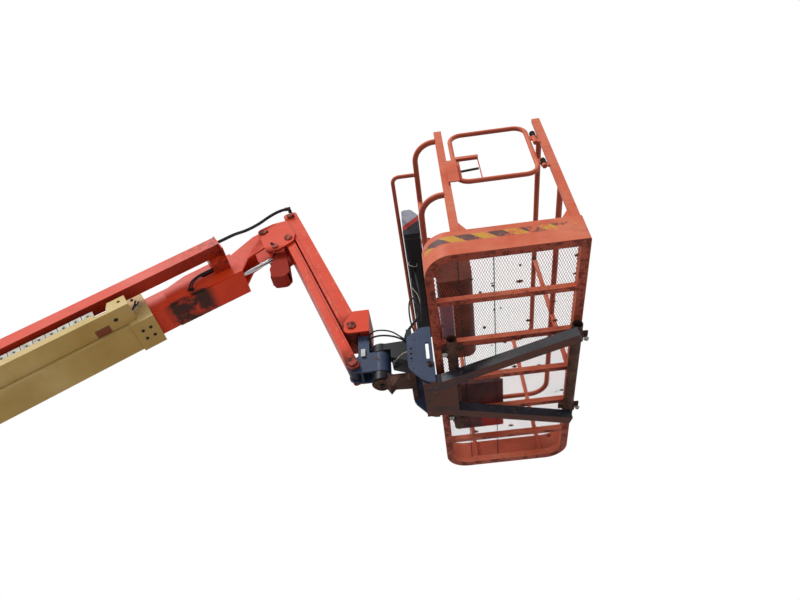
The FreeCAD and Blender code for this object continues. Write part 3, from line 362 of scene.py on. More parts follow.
iron = Finish("dark_steel", 0.45, metal=0.5)
tarnish = iron.noise(60.0, 5.0).above(0.45, 0.7)
dark_steel = iron.done(iron.mix(tarnish, srgb(46, 44, 44), srgb(84, 62, 48)), tarnish, tarnish, 0.0003)
MOUTH, COLLAR_BOTTOM, COLLAR_SIDE, SIDE_SCREW_HEIGHT = 3.204, -0.1441, 0.1181, 0.098
COLLAR_SCREW = 0.0075
places = [in_boom(MOUTH - back, y, COLLAR_BOTTOM) for back in (0.048, 0.1) for y in (-0.04, 0.03)]
fitted(screws("collar_screws", places, in_boom(0, 0, -1), COLLAR_SCREW), dark_steel, "base_section",
       "pin_steel")
for side in (-1, 1):
    place = in_boom(MOUTH - 0.07, side * COLLAR_SIDE, SIDE_SCREW_HEIGHT)
    fitted(screws("collar_side_screw", [place], (0, side, 0), COLLAR_SCREW), dark_steel, "base_section",
           "pin_steel")

# Wear pads: pale nylon blocks screwed inside the collar, oily where the fly
# slides on them.
NYLON, OILY_NYLON = srgb(205, 200, 182), srgb(120, 110, 92)
pad = Finish("nylon_pad", 0.4)
oil = pad.noise(18.0).above(0.4, 0.7)
dress(pad.done(pad.mix(oil, NYLON, OILY_NYLON), oil, oil, depth=0.0002), "wear_pads")

# Link track: moulded pale links that carry the hoses in the tray. Each has two
# side plates with a round boss at the pin and a bar across. One is modelled
# and copied along the tray.
LINK_PITCH, LINK_START, LINK_COUNT = 0.074, 0.76, 29
LINK_V, LINK_Y, LINK_WALL, LINK_SWAY = (-0.104, -0.004), (-0.248, -0.152), 0.006, 0.0015
LINK_HOLE_V, LINK_HOLE_RADIUS, LINK_GAP, LINK_BAR = -0.036, 0.012, 0.003, (0.022, 0.008)
LINK_PALE, LINK_DUSTY, LINK_SHADE = srgb(214, 212, 202), srgb(164, 154, 132), srgb(120, 110, 92)
link = Finish("track_plastic", 0.6)
dust = link.noise(22.0, 5.0).above(0.4, 0.75)
v = boom_height(link) - LINK_HOLE_V
place = ((boom_length(link) - LINK_START) * (1 / LINK_PITCH)).fraction() - 0.5
off = place * place * LINK_PITCH ** 2 + v * v
hollow = 1 - off.above(LINK_HOLE_RADIUS ** 2 * 0.35, LINK_HOLE_RADIUS ** 2 * 0.5)
# Painted shade: the links are darkened where they face down.
colour = link.mix(link.below() * 0.6, link.mix(dust, LINK_PALE, LINK_DUSTY), LINK_SHADE)
# Painted shade: a near-black disc at each pin stands for the shade in its hole.
colour = link.mix(hollow * (1 - link.facing("Y").above(0.2, 0.4)), colour, srgb(30, 26, 24))
track_plastic = link.done(colour, dust, dust)
middle_v = sum(LINK_V) / 2
parts = []
for y in LINK_Y:
    wall = added(bpy.ops.mesh.primitive_cube_add, "wall", size=1, location=(0, y, middle_v),
                 scale=(LINK_PITCH - LINK_GAP, LINK_WALL, LINK_V[1] - LINK_V[0]))
    softened(wall, 0.002, 1)
    boss = added(bpy.ops.mesh.primitive_cylinder_add, "boss", vertices=20, radius=LINK_HOLE_RADIUS * 1.5,
                 depth=LINK_WALL + 0.005, location=(0, y, LINK_HOLE_V), rotation=(math.pi / 2, 0, 0))
    choose(boss, lambda centre, normal: abs(normal.z) > 0.9)
    bpy.ops.mesh.inset(thickness=LINK_HOLE_RADIUS * 0.5)
    bpy.ops.mesh.extrude_region_shrink_fatten(TRANSFORM_OT_shrink_fatten={"value": -0.003})
    bpy.ops.object.mode_set(mode="OBJECT")
    parts += [wall, boss]
bar = added(bpy.ops.mesh.primitive_cube_add, "bar", size=1,
            location=(0, sum(LINK_Y) / 2, LINK_V[1] - LINK_BAR[1]),
            scale=(LINK_BAR[0], LINK_Y[1] - LINK_Y[0], LINK_BAR[1]))
softened(bar, 0.002, 1)
pattern = joined(parts + [bar], "link")
links = []
for number in range(LINK_COUNT):
    copy = bpy.data.objects.new("link", pattern.data.copy())
    bpy.context.scene.collection.objects.link(copy)
    sway = math.sin(number * 1.7) * LINK_SWAY
    copy.matrix_world = (Matrix.Translation(in_boom(LINK_START + (number + 0.5) * LINK_PITCH, 0, sway))
                         @ Matrix.Rotation(-BOOM_ANGLE, 4, "Y"))
    links.append(copy)
bpy.data.objects.remove(pattern)
fitted(joined(links, "link_track"), track_plastic, "base_section", "track_plastic", "power_track")

# Fly section: a smaller box welded from orange plate, with a thicker head.
# Its sides have faded to salmon in patches, its upper faces are painted lighter
# salmon as light, its underside is painted a little darker as shade, and its
# belly is brown with oil.
ORANGE, SALMON, DARK_RED = srgb(222, 62, 22), srgb(228, 92, 58), srgb(122, 24, 14)
OIL_BROWN, CHIP_DARK = srgb(66, 32, 26), srgb(52, 34, 32)


def orange_plate(name, chip, shade_and_grime_below, top_light_and_fade):
    """Orange paint, painted lighter salmon where it faces up as light falling on it, with some sun fading."""
    plate = Finish(name, 0.45)
    lit = plate.facing("Z").above(-0.1, 0.7)
    patch = plate.noise(3.2, 4.0).above(0.4, 0.75)
    # Painted light, with some fading: salmon grows on faces that point up; random patches add real fade.
    paint = plate.mix(lit * patch * top_light_and_fade + patch * 0.15, ORANGE, SALMON)
    return plate, worn(plate, paint, DARK_RED, CHIP_DARK, chip, shade_and_grime_below)


HEAD_PLATE, BELLY_V, BELLY_EDGE, STREAKED = (3.3, 3.6), -0.1, 0.012, (3.22, 3.5)
plate, (colour, wear, grain) = orange_plate("fly_paint", chip=0.7, shade_and_grime_below=0.25, top_light_and_fade=0.5)
u = boom_length(plate)
smear = plate.noise(6.0, 6.0, (1, 1, 2), 0.65).above(0.36, 0.52)
belly = (1 - boom_height(plate).above(BELLY_V, BELLY_V + BELLY_EDGE)) * u.inside(*HEAD_PLATE, 0.03) * smear
side_streak = plate.noise(16.0, 6.0, (1, 1, 7)).above(0.56, 0.72) * u.inside(*STREAKED, 0.05) * 0.5
colour = plate.mix(belly, plate.mix(side_streak, colour, DARK_RED), OIL_BROWN)
dress(plate.done(colour, wear + belly * 0.5, grain), "fly_boom")

# Push tube: a square tube beside the fly that carries the hoses out with it.
# Its top is painted brighter salmon as light, with some fading, its underside is
# painted dark red as shade, and its near end is flecked black.
FLECKED = (3.3, 3.75)
plate, (colour, wear, grain) = orange_plate("push_tube_paint", chip=0.68, shade_and_grime_below=0.9, top_light_and_fade=0.6)
end_fleck = plate.noise(46.0, 7.0, rough=0.75).above(0.5, 0.56) * boom_length(plate).above(*FLECKED)
dress(plate.done(plate.mix(end_fleck * 0.7, colour, CHIP_DARK), wear, grain), "push_tube")

# Jib hoses: rubber hoses from the push tube's end over the bracket and into
# the upper bar. The bundle is taped, so it reads as one ribbed line.
rubber = Finish("hose_rubber", 0.5)
bloom = rubber.noise(40.0, 4.0).above(0.4, 0.8)
rib = rubber.noise(160.0, 2.0)
hose_rubber = rubber.done(rubber.mix(bloom * 0.6, srgb(24, 24, 28), srgb(70, 68, 74)), bloom, rib, 0.0004)


def cord_curve(name, points, radius):
    """A round line on one smooth spline, through the same points as its solid."""
    curve = bpy.data.curves.new(name, "CURVE")
    curve.dimensions = "3D"
    curve.bevel_depth, curve.bevel_resolution, curve.use_fill_caps = radius, 3, True
    curve.resolution_u = 14
    spline = curve.splines.new("NURBS")
    spline.points.add(len(points) - 1)
    for control, point in zip(spline.points, points):
        control.co = (*point, 1.0)
    spline.order_u, spline.use_endpoint_u = 3, True
    line = bpy.data.objects.new(name, curve)
    bpy.context.scene.collection.objects.link(line)
    curve.materials.append(hose_rubber)
    return line


def trim_wire(name, points, radius, material):
    """A short lead held at both ends, as a mesh."""
    line = cord_curve(name, points, radius)
    line.data.bevel_resolution = 2
    bpy.ops.object.select_all(action="DESELECT")
    line.select_set(True)
    bpy.context.view_layer.objects.active = line
    bpy.ops.object.convert(target="MESH")
    line = bpy.context.object
    line.data.materials.clear()
    line.data.materials.append(material)
    bpy.ops.object.shade_smooth()
    return line


def centre_line(points):
    """The points along a route's spline, read from a curve with no thickness."""
    line = cord_curve("centre_line", points, 0.0)
    bpy.context.view_layer.update()
    path = [vertex.co.copy() for vertex in bpy.data.meshes.new_from_object(line).vertices]
    bpy.data.objects.remove(line)
    return path


HOSE_RADIUS = 0.011
hose_route = [(3.1685, -0.238, 2.0908), (3.2165, -0.237, 2.1208), (3.2645, -0.215, 2.1908),
              (3.3205, -0.165, 2.2828), (3.3905, -0.134, 2.3828), (3.45, -0.132, 2.452),
              (3.5, -0.132, 2.496), (3.545, -0.132, 2.522), (3.58, -0.132, 2.53)]
hoses = trim_wire("jib_hose_line", hose_route, HOSE_RADIUS, hose_rubber)
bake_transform(hoses)
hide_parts("jib_hoses")
centre_line(hose_route)

# Fly hoses: thin hoses that leave the slot in the fly's side, droop to its
# lower edge and go in again behind the bracket.
FLY_HOSE_RADIUS, HOSE_START = 0.006, (3.6845, -0.008)
fly_route = [tuple(in_boom(HOSE_START[0] - back, -0.1 - out, HOSE_START[1] - drop)) for back, out, drop in (
    (0, 0.035, 0), (0.055, 0.038, 0.002), (0.11, 0.046, 0.014), (0.16, 0.05, 0.036), (0.194, 0.033, 0.052),
    (0.202, 0.002, 0.056))]
fly_hose = cord_curve("fly_hose_line", fly_route, FLY_HOSE_RADIUS)
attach(fly_hose, "fly_section")
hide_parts("fly_hoses")

# Base bracket: two orange cheeks welded to the fly's head, with thick round
# bosses at their pins. The lobe below holds a black eye; being recessed, it is
# painted dark red as shade.
LOBE_TOP_Z = 2.11
plate, (colour, wear, grain) = orange_plate("bracket_paint", 0.72, 0.6, 0.8)
# Painted shade: the lobe below LOBE_TOP_Z is darkened to dark red, as it sits in shadow.
lobe_shade = 1 - plate.axis("Z").above(LOBE_TOP_Z, LOBE_TOP_Z + 0.05)
dress(plate.done(plate.mix(lobe_shade * 0.75, colour, srgb(120, 30, 24)), wear + lobe_shade, grain), "jib_base_bracket")

# Level cylinder, upper arm and hub: black enamelled steel, dusty and chipped
# to brown primer along its edges.
black_enamel = Finish("black_enamel", 0.4)
dust = black_enamel.noise(9.0, 6.0).above(0.45, 0.75)
chips = black_enamel.noise(42.0, 7.0, rough=0.7).above(0.66, 0.7)
colour = black_enamel.mix(dust * 0.5, srgb(22, 23, 28), srgb(60, 58, 62))
colour = black_enamel.mix(chips, colour, srgb(96, 62, 46))
black_paint = black_enamel.done(colour, dust + chips, chips * -1.0)
dress(black_paint, "level_barrel", "level_eye", "upper_arm", "rotator_shaft")

# Level rod: hard chrome on ground steel, with a thin film of oil and dust
# along its length.
chrome = Finish("chrome_rod", 0.12, metal=1.0, specular=0.5)
film = chrome.noise(30.0, 3.0, (1, 1, 4)).above(0.45, 0.8)
dress(chrome.done(chrome.mix(film, srgb(206, 208, 212), srgb(160, 156, 152)), film), "level_rod")

# Pins: turned steel through both cheeks, painted over with the bracket. Each
# is kept by a plate and a hexagon screw, worn dark in the middle.
pin_paint = Finish("pin_steel", 0.5, metal=0.2)
rubbed = pin_paint.noise(30.0, 6.0).above(0.42, 0.62)
dress(pin_paint.done(pin_paint.mix(rubbed, srgb(150, 56, 38), srgb(62, 40, 36)), rubbed, rubbed * -1.0, 0.0004),
      "level_pins", "bracket_jib_pins", "end_jib_pins")

# Jib bars: two deep bars, each folded from plate into a channel and closed
# by a second one, so a dark seam runs down each side. Brown at the low end.
JIB_DROP = math.radians(-68.7)
LOW_TOP, UP_TOP = Vector((3.615, 0, 2.231)), Vector((3.607, 0, 2.506))
LOW_END, UP_END = Vector((4.0872, 0, 1.0198)), Vector((4.0792, 0, 1.2948))


def bar_paint(name, top, seam_across):
    plate, (colour, wear, grain) = orange_plate(name, 0.7, 0.95, 0.55)
    x, z = plate.axis("X") - top.x, plate.axis("Z") - top.z
    along = x * math.cos(JIB_DROP) + z * math.sin(JIB_DROP)
    across = z * math.cos(JIB_DROP) - x * math.sin(JIB_DROP)
    edge_scuff = plate.noise(24.0, 7.0, (1, 1, 0.4), 0.7).above(0.56, 0.62) * (1 - plate.below())
    brown = along.above(1.16, 1.26) * plate.noise(14.0, 5.0).above(0.3, 0.5)
    colour = plate.mix(edge_scuff * 0.22, colour, srgb(228, 150, 126))
    colour = plate.mix(brown * 0.85, colour, srgb(88, 42, 30))
    seam = across.inside(seam_across - 0.0015, seam_across + 0.0015, 0.001) * along.inside(0.1, 1.2, 0.01)
    colour = plate.mix(seam * 0.85, colour, srgb(48, 20, 18))
    return plate.done(colour, wear + brown, grain - seam)


dress(bar_paint("lower_bar_paint", LOW_TOP, 0.018), "jib_lower_bar")
dress(bar_paint("upper_bar_paint", UP_TOP, -0.028), "jib_upper_bar")
plate, (colour, wear, grain) = orange_plate("clevis_paint", 0.68, 0.9, 0.7)
# Painted shade: the faces between the clevis cheeks are darkened red.
inner_shade = 1 - plate.add("ShaderNodeMath", {"operation": "ABSOLUTE"}, [plate.axis("Y")]).above(0.076, 0.084)
dress(plate.done(plate.mix(inner_shade * 0.7, colour, srgb(96, 22, 18)), wear, grain), "end_clevis")

# Rotator bracket and side plates: navy plate, chalky in patches and painted
# darker where it faces down, as shade. The side plates have an arc of small
# drilled holes along their front edge, painted as dark dots for the shade inside
# them.
HOLE_STEP, ARC_X, ARC_Z = 0.05, 4.43, 0.935


def navy_plate(name, drilled):
    navy = Finish(name, 0.5, specular=0.3)
    chalk = navy.noise(5.0, 6.0).above(0.38, 0.68)
    rub = navy.noise(30.0, 7.0, rough=0.72).above(0.6, 0.64)
    colour = navy.mix(chalk * 0.6, srgb(38, 52, 80), srgb(72, 90, 120))
    # Painted shade: the plate is darkened where it faces down.
    colour = navy.mix(navy.below() * 0.7, colour, srgb(30, 28, 34))
    colour = navy.mix(rub, colour, srgb(92, 62, 48))
    if drilled:
        z = navy.axis("Z") - ARC_Z
        across = navy.axis("X") - ARC_X - z * z * 1.6
        step = (z * (1 / HOLE_STEP) + 20.0).fraction() - 0.5
        reach = across * across + step * step * HOLE_STEP ** 2
        # Painted shade: each drilled hole is a near-black dot, the shade inside it.
        hole_shade = (1 - reach.above(0.0045 ** 2, 0.0055 ** 2)) * z.inside(-0.12, 0.13, 0.002)
        colour = navy.mix(hole_shade, colour, srgb(14, 14, 18))
    return navy.done(colour, rub + chalk * 0.5, rub * -1.0)


dress(navy_plate("bracket_navy", False), "rotator_bracket")
dress(navy_plate("side_plate_navy", True), "support_side_plates")
fitted(screws("side_plate_screw", [Vector((4.527, -0.1622, 0.874))], (0, -1, 0), 0.012), dark_steel, "platform",
       "pin_steel")

# Lower arm, tubes and clamps below the floor: bare in places and gone brown,
# with a little of their dark paint left.
brown_steel = Finish("rusty_steel", 0.65)
scale = brown_steel.noise(16.0, 7.0, rough=0.7).above(0.4, 0.62)
bloom = brown_steel.noise(5.0, 5.0).above(0.4, 0.7)
colour = brown_steel.mix(bloom, srgb(72, 46, 38), srgb(100, 68, 54))
colour = brown_steel.mix(scale * 0.6, colour, srgb(44, 30, 28))
dress(brown_steel.done(colour, scale, scale, 0.0008), "lower_arm", "cross_tubes", "tube_clamps")

# Support arms: black tubes that carry the floor, brown along their bellies.
arm = Finish("arm_paint", 0.42)
belly = arm.below() * arm.noise(9.0, 6.0, (0.4, 1, 1)).above(0.3, 0.5)
nick = arm.noise(40.0, 7.0, rough=0.72).above(0.6, 0.64)
colour = arm.mix(arm.noise(7.0, 4.0).above(0.4, 0.7) * 0.5, srgb(26, 28, 36), srgb(56, 58, 70))
colour = arm.mix(belly * 0.8, colour, srgb(92, 54, 42))
dress(arm.done(arm.mix(nick, colour, srgb(110, 70, 54)), belly + nick, nick * -1.0), "support_arms")

# Platform: a welded frame of tube with a toe board, rails and gate in faded
# salmon, painted paler where it faces up as light. The undersides are painted
# brown-red as shade, with some grime, and have flaked paint.
BASKET, BASKET_PALE, BASKET_DARK = srgb(208, 96, 66), srgb(224, 136, 106), srgb(112, 40, 30)


def basket_paint(name, chip=0.64):
    paint = Finish(name, 0.5)
    # Paler in patches, and more where it faces up: painted light on the tops.
    pale = paint.noise(6.0, 5.0).above(0.35, 0.7) * (paint.facing("Z").above(-0.5, 0.6) * 0.6 + 0.4)
    return paint, worn(paint, paint.mix(pale, BASKET, BASKET_PALE), BASKET_DARK, srgb(84, 50, 40), chip, 0.9)


paint, (colour, wear, grain) = basket_paint("salmon_paint")
salmon_paint = paint.done(colour, wear, grain)
dress(salmon_paint, "side_rails", "end_rails", "rail_bends", "side_posts", "gate_posts", "gate", "gate_handle",
      "console_guard")
paint, (colour, wear, grain) = basket_paint("floor_frame_paint", 0.58)
flaked = paint.noise(20.0, 7.0, rough=0.7).above(0.5, 0.56) * paint.below()
dress(paint.done(paint.mix(flaked * 0.7, colour, srgb(70, 36, 30)), wear + flaked, grain), "floor_frame")

# Toe board: a strip of plate along the floor's edge. Its near side keeps part
# of a worn band of slanted yellow and dark stripes.
STRIPE_PITCH, NEAR_SIDE_Y = 0.15, -0.85
BAND = (0.958, 1.004)
board, (colour, wear, grain) = basket_paint("toe_board_paint")
slant = board.axis("X") + board.axis("Z") * 1.2
wave = (slant * (1 / STRIPE_PITCH)).fraction()
stripe = wave.inside(0.46, 0.98, 0.02)
rubbed_off = board.noise(26.0, 7.0, rough=0.75) + board.axis("X").above(4.75, 5.35) * 0.16
band = board.axis("Z").inside(*BAND, 0.004) * (1 - board.axis("Y").above(NEAR_SIDE_Y, NEAR_SIDE_Y + 0.01))
kept = band * (1 - rubbed_off.above(0.56, 0.62))
tape = board.mix(stripe, srgb(206, 158, 60), srgb(74, 66, 68))
dress(board.done(board.mix(kept * 0.9, colour, tape), wear, grain), "toe_board")

# Floor: expanded steel sheet, slit and pulled into narrow diamonds, welded on
# the cross bars. It is modelled as crossed strands and trimmed to the frame.
FLOOR_Z0, FLOOR_Z1 = 0.9101, 0.9129
FLOOR_LEFT, FLOOR_RIGHT = 4.566, 5.314
FLOOR_NEAR, FLOOR_FAR = -0.909, 0.909
CORNER = 0.124
DIAMOND_X, DIAMOND_Y = 0.0127, 0.03
across, along = FLOOR_RIGHT - FLOOR_LEFT, FLOOR_FAR - FLOOR_NEAR
CELLS = 2 * int(along / DIAMOND_Y / 2 + across / DIAMOND_X / 2 + 3)
MESH_MIDDLE = Vector(((FLOOR_LEFT + FLOOR_RIGHT) / 2, 0, (FLOOR_Z0 + FLOOR_Z1) / 2))
floor_sheet = added(bpy.ops.mesh.primitive_grid_add, "expanded_floor", x_subdivisions=CELLS,
                    y_subdivisions=CELLS, size=CELLS / math.sqrt(2), location=(0, 0, 0))
bpy.ops.object.mode_set(mode="EDIT")
bpy.ops.mesh.select_all(action="SELECT")
bpy.ops.transform.rotate(value=math.pi / 4, orient_axis="Z", center_override=(0, 0, 0))
bpy.ops.transform.resize(value=(DIAMOND_X, DIAMOND_Y, 1), center_override=(0, 0, 0))
bpy.ops.transform.translate(value=MESH_MIDDLE)
bpy.ops.mesh.select_mode(type="VERT")
bpy.ops.mesh.select_all(action="DESELECT")
bpy.ops.object.mode_set(mode="OBJECT")


def off_floor(place):
    """True outside the floor's outline, which is round at three of its corners."""
    if not (FLOOR_LEFT < place.x < FLOOR_RIGHT and FLOOR_NEAR < place.y < FLOOR_FAR):
        return True
    near_x, near_y = min(place.x - FLOOR_LEFT, CORNER), min(place.y - FLOOR_NEAR, CORNER)
    far_x, far_y = min(FLOOR_RIGHT - place.x, CORNER), min(FLOOR_FAR - place.y, CORNER)
    return any(math.hypot(CORNER - a, CORNER - b) > CORNER for a, b in (
        (near_x, near_y), (near_x, far_y), (far_x, far_y)))


for vertex in floor_sheet.data.vertices:
    vertex.select = off_floor(vertex.co)
bpy.ops.object.mode_set(mode="EDIT")
bpy.ops.mesh.delete(type="VERT")
bpy.ops.object.mode_set(mode="OBJECT")
strands = floor_sheet.modifiers.new("strands", "WIREFRAME")
strands.thickness, strands.use_even_offset, strands.use_boundary = 0.0028, False, True
bpy.ops.object.modifier_apply(modifier="strands")
steel = Finish("mesh_steel", 0.6)
rust = steel.noise(7.0, 6.0, rough=0.65).above(0.42, 0.62)
colour = steel.mix(rust, srgb(176, 84, 62), srgb(98, 52, 40))
fitted(floor_sheet, steel.done(colour, rust, rust, 0.0002), "platform", "mesh_steel", "floor_mesh")
bpy.context.view_layer.update()

# Floor rods and dirt: two thin bars under the sheet, and clods of dry mud and
# leaves that lie in the diamonds, most of them along the right side.
rods = []
for x in (4.718, 4.887):
    rod = added(bpy.ops.mesh.primitive_cylinder_add, "floor_rod", vertices=12, radius=0.0024, depth=1.78,
                location=(x, 0, 0.9075), rotation=(math.pi / 2, 0, 0))
    softened(rod, 0.0005)
    rods.append(rod)
fitted(joined(rods, "floor_rods"), dark_steel, "platform", "mesh_steel")
random.seed(7)
clods = []
for number in range(44):
    x = FLOOR_LEFT + 0.03 + (across - 0.06) * random.random() ** (0.5 if number % 3 else 1.0)
    y = random.uniform(FLOOR_NEAR + 0.05, FLOOR_FAR - 0.15)
    size = random.uniform(0.004, 0.011)
    if off_floor(Vector((x, y, 0))):
        continue
    clod = added(bpy.ops.mesh.primitive_ico_sphere_add, "clod", subdivisions=2, radius=size,
                 location=(x, y, FLOOR_Z1 + size * 0.2))
    clod.scale = (random.uniform(0.8, 1.7), random.uniform(0.8, 1.4), 0.35)
    bpy.ops.object.mode_set(mode="EDIT")
    bpy.ops.mesh.select_all(action="SELECT")
    bpy.ops.transform.vertex_random(offset=size * 0.22, seed=number)
    bpy.ops.object.mode_set(mode="OBJECT")
    clods.append(clod)
mud = Finish("dry_mud", 0.9)
crumb = mud.noise(120.0, 5.0).above(0.4, 0.6)
fitted(joined(clods, "floor_dirt"), mud.done(mud.mix(crumb, srgb(62, 48, 40), srgb(100, 82, 66)), crumb, crumb),
       "platform", "mesh_steel")

# Clamp screws: each cross tube is held up to the floor by clamps with one
# screw on a bright washer.
bright = Finish("bright_zinc", 0.35, metal=0.7)
dull = bright.noise(80.0, 4.0).above(0.4, 0.7)
zinc = bright.done(bright.mix(dull, srgb(196, 196, 192), srgb(120, 112, 104)), dull)
places = [Vector((x, y, 0.8118)) for x, y in ((4.612, 0.268), (4.612, -0.3), (5.336, 0.3), (5.336, -0.3))]
fitted(screws("clamp_screws", places, (0, 0, -1), 0.0095), zinc, "platform", "pin_steel")

# Gate latch: a folded plate welded in the gate's near corner, with a flange
# along its top, a thin stop rod and the latch's dark lever. The plate stands
# for the solid's plain handle.
LATCH_Y = -0.897
pieces = []
for middle, size in (((4.8, LATCH_Y, 1.588), (0.03, 0.007, 0.19)),
                     ((4.853, LATCH_Y, 1.684), (0.136, 0.03, 0.006)),
                     ((4.853, LATCH_Y - 0.013, 1.674), (0.136, 0.004, 0.022))):
    part = added(bpy.ops.mesh.primitive_cube_add, "latch", size=1, location=middle, scale=size)
    softened(part, 0.0016)
    pieces.append(part)
rod = added(bpy.ops.mesh.primitive_cylinder_add, "stop_rod", vertices=16, radius=0.0035, depth=0.21,
            location=(4.9175, LATCH_Y, 1.574))
softened(rod, 0.0008)
pieces.append(rod)
fitted(joined(pieces, "gate_latch"), salmon_paint, "gate", "faded_orange_paint", "gate_handle")
lever = added(bpy.ops.mesh.primitive_cylinder_add, "latch_lever", vertices=20, radius=0.0065, depth=0.1,
              location=(4.862, LATCH_Y, 1.566), rotation=(0, math.radians(84), 0))
choose(lever, lambda centre, normal: abs(normal.z) > 0.9)
bpy.ops.mesh.extrude_region_shrink_fatten(TRANSFORM_OT_shrink_fatten={"value": 0.012})
bpy.ops.transform.resize(value=(0.5, 0.5, 1), center_override=(4.862, LATCH_Y, 1.566))
bpy.ops.object.mode_set(mode="OBJECT")
softened(lever, 0.002)
fitted(lever, dark_steel, "gate", "pin_steel")

# Gate springs: a coil of wire round each hinge spindle shuts the gate.
HINGE_X, COILS, COIL_PITCH = 5.25, 7, 0.0062
rings = []
for middle in (1.835, 1.55):
    for number in range(COILS):
        rings.append(added(bpy.ops.mesh.primitive_torus_add, "ring", major_segments=28, minor_segments=8,
                           major_radius=0.0148, minor_radius=0.0018,
                           location=(HINGE_X, LATCH_Y, middle + (number - COILS / 2) * COIL_PITCH)))
fitted(joined(rings, "gate_springs"), dark_steel, "platform", "pin_steel")

# Hose fitting: a crimped steel sleeve and nut that end the jib hoses, on a
# bent tab under the upper bar's pin head.
FITTING = Vector((3.594, -0.132, 2.53))
sleeve = added(bpy.ops.mesh.primitive_cylinder_add, "sleeve", vertices=24, radius=0.0135, depth=0.026,
               location=FITTING - Vector((0.006, 0, 0)), rotation=(0, math.pi / 2, 0))
choose(sleeve, lambda centre, normal: abs(normal.z) > 0.9)
bpy.ops.mesh.inset(thickness=0.003)
bpy.ops.object.mode_set(mode="OBJECT")
softened(sleeve, 0.0012)
nut = added(bpy.ops.mesh.primitive_cylinder_add, "nut", vertices=6, radius=0.017, depth=0.014,
            location=FITTING + Vector((0.014, 0, 0)), rotation=(0, math.pi / 2, 0))
softened(nut, 0.0012)
tab = added(bpy.ops.mesh.primitive_cube_add, "tab", size=1, location=FITTING + Vector((0.016, 0.014, -0.012)),
            scale=(0.026, 0.03, 0.004))
softened(tab, 0.001)
fitted(joined([sleeve, nut, tab], "hose_fitting"), dark_steel, "jib_base", "black_paint", "hose_block")

# Second fly hose: a thinner rubber hose that runs beside the first. Steel
# elbows screw both into the fly's lower edge.
second_route = [tuple(in_boom(HOSE_START[0] - 0.012 - back, -0.1 - out, HOSE_START[1] - 0.014 - drop))
                for back, out, drop in ((0, 0.035, 0), (0.05, 0.04, 0.004), (0.1, 0.048, 0.018), (0.14, 0.052, 0.04),
                                        (0.17, 0.034, 0.05), (0.176, 0.002, 0.052))]
second_hose = cord_curve("fly_hose_second", second_route, 0.005)
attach(second_hose, "fly_section")
elbows = [Vector(fly_route[-1]), Vector(second_route[-1])]
fitted(screws("hose_elbows", [place - Vector((0, 0.002, 0)) for place in elbows], (0, -1, 0), 0.011), dark_steel,
       "fly_section", "pin_steel")

# Cheek screws: black lock screws hold the pin plates on the near cheek of the
# bracket.
cheek_screws = [Vector((3.45, -0.0972, 2.33)), Vector((3.50, -0.0972, 2.185))]
fitted(screws("cheek_lock_screws", cheek_screws, (0, -1, 0), 0.008), dark_steel, "jib_base", "pin_steel")

# Rotator label and turning joint: a blank plate is riveted on the bracket. A
# turned cap with one screw closes the hub from below.
LABEL = Vector((4.146, -0.0648, 1.098))
label = added(bpy.ops.mesh.primitive_cube_add, "label", size=1, location=LABEL, scale=(0.026, 0.0016, 0.056))
softened(label, 0.0006)
choose(label, lambda centre, normal: normal.y < -0.9)
bpy.ops.mesh.inset(thickness=0.0024, depth=0.0004)
bpy.ops.object.mode_set(mode="OBJECT")
plate_metal = Finish("label_white", 0.45)
smudge = plate_metal.noise(70.0, 5.0).above(0.5, 0.75)
fitted(label, plate_metal.done(plate_metal.mix(smudge * 0.6, srgb(206, 206, 202), srgb(120, 120, 124)), smudge),
       "end_bracket", "track_plastic")
cap = added(bpy.ops.mesh.primitive_cylinder_add, "cap", vertices=48, radius=0.046, depth=0.014,
            location=(4.244, 0, 0.898))
choose(cap, lambda centre, normal: normal.z < -0.9)
bpy.ops.mesh.inset(thickness=0.012)
bpy.ops.mesh.extrude_region_move(TRANSFORM_OT_translate={"value": (0, 0, 0.004)})
bpy.ops.object.mode_set(mode="OBJECT")
softened(cap, 0.0015)
fitted(cap, nodes["lower_arm"].data.materials[0], "platform", "rusty_paint")
fitted(screws("hub_screw", [Vector((4.244, 0, 0.8952))], (0, 0, -1), 0.012), dark_steel, "platform", "pin_steel")

# Lower arm lug: a pointed stop plate, cut from flat steel and welded under the
# arm's near side.
lug = added(bpy.ops.mesh.primitive_cube_add, "arm_lug", size=1, location=(4.334, -0.098, 0.838),
            scale=(0.06, 0.012, 0.06))
bpy.ops.object.transform_apply(location=True, rotation=True, scale=True)
for vertex in lug.data.vertices:
    if vertex.co.z < 0.83:
        vertex.co.x = 4.302 if vertex.co.x < 4.33 else 4.318
softened(lug, 0.002)
fitted(lug, nodes["lower_arm"].data.materials[0], "platform", "rusty_paint")

# Turning-joint valve: a small black block with a coil on its front and a hose
# port at its side, bolted under the upper arm.
VALVE = Vector((4.336, -0.083, 0.969))
block = added(bpy.ops.mesh.primitive_cube_add, "block", size=1, location=VALVE, scale=(0.03, 0.028, 0.04))
softened(block, 0.003)
choose(block, lambda centre, normal: normal.y < -0.9)
bpy.ops.mesh.inset(thickness=0.006)
bpy.ops.mesh.extrude_region_move(TRANSFORM_OT_translate={"value": (0, -0.003, 0)})
bpy.ops.object.mode_set(mode="OBJECT")
coil = added(bpy.ops.mesh.primitive_cylinder_add, "coil", vertices=28, radius=0.012, depth=0.01,
             location=VALVE + Vector((0, -0.02, 0)), rotation=(math.pi / 2, 0, 0))
softened(coil, 0.002)
port = added(bpy.ops.mesh.primitive_cylinder_add, "port", vertices=6, radius=0.009, depth=0.016,
             location=VALVE + Vector((0.022, 0, -0.004)), rotation=(0, math.pi / 2, 0))
softened(port, 0.0015)
fitted(joined([block, coil, port], "joint_valve"), black_paint, "platform", "black_paint")

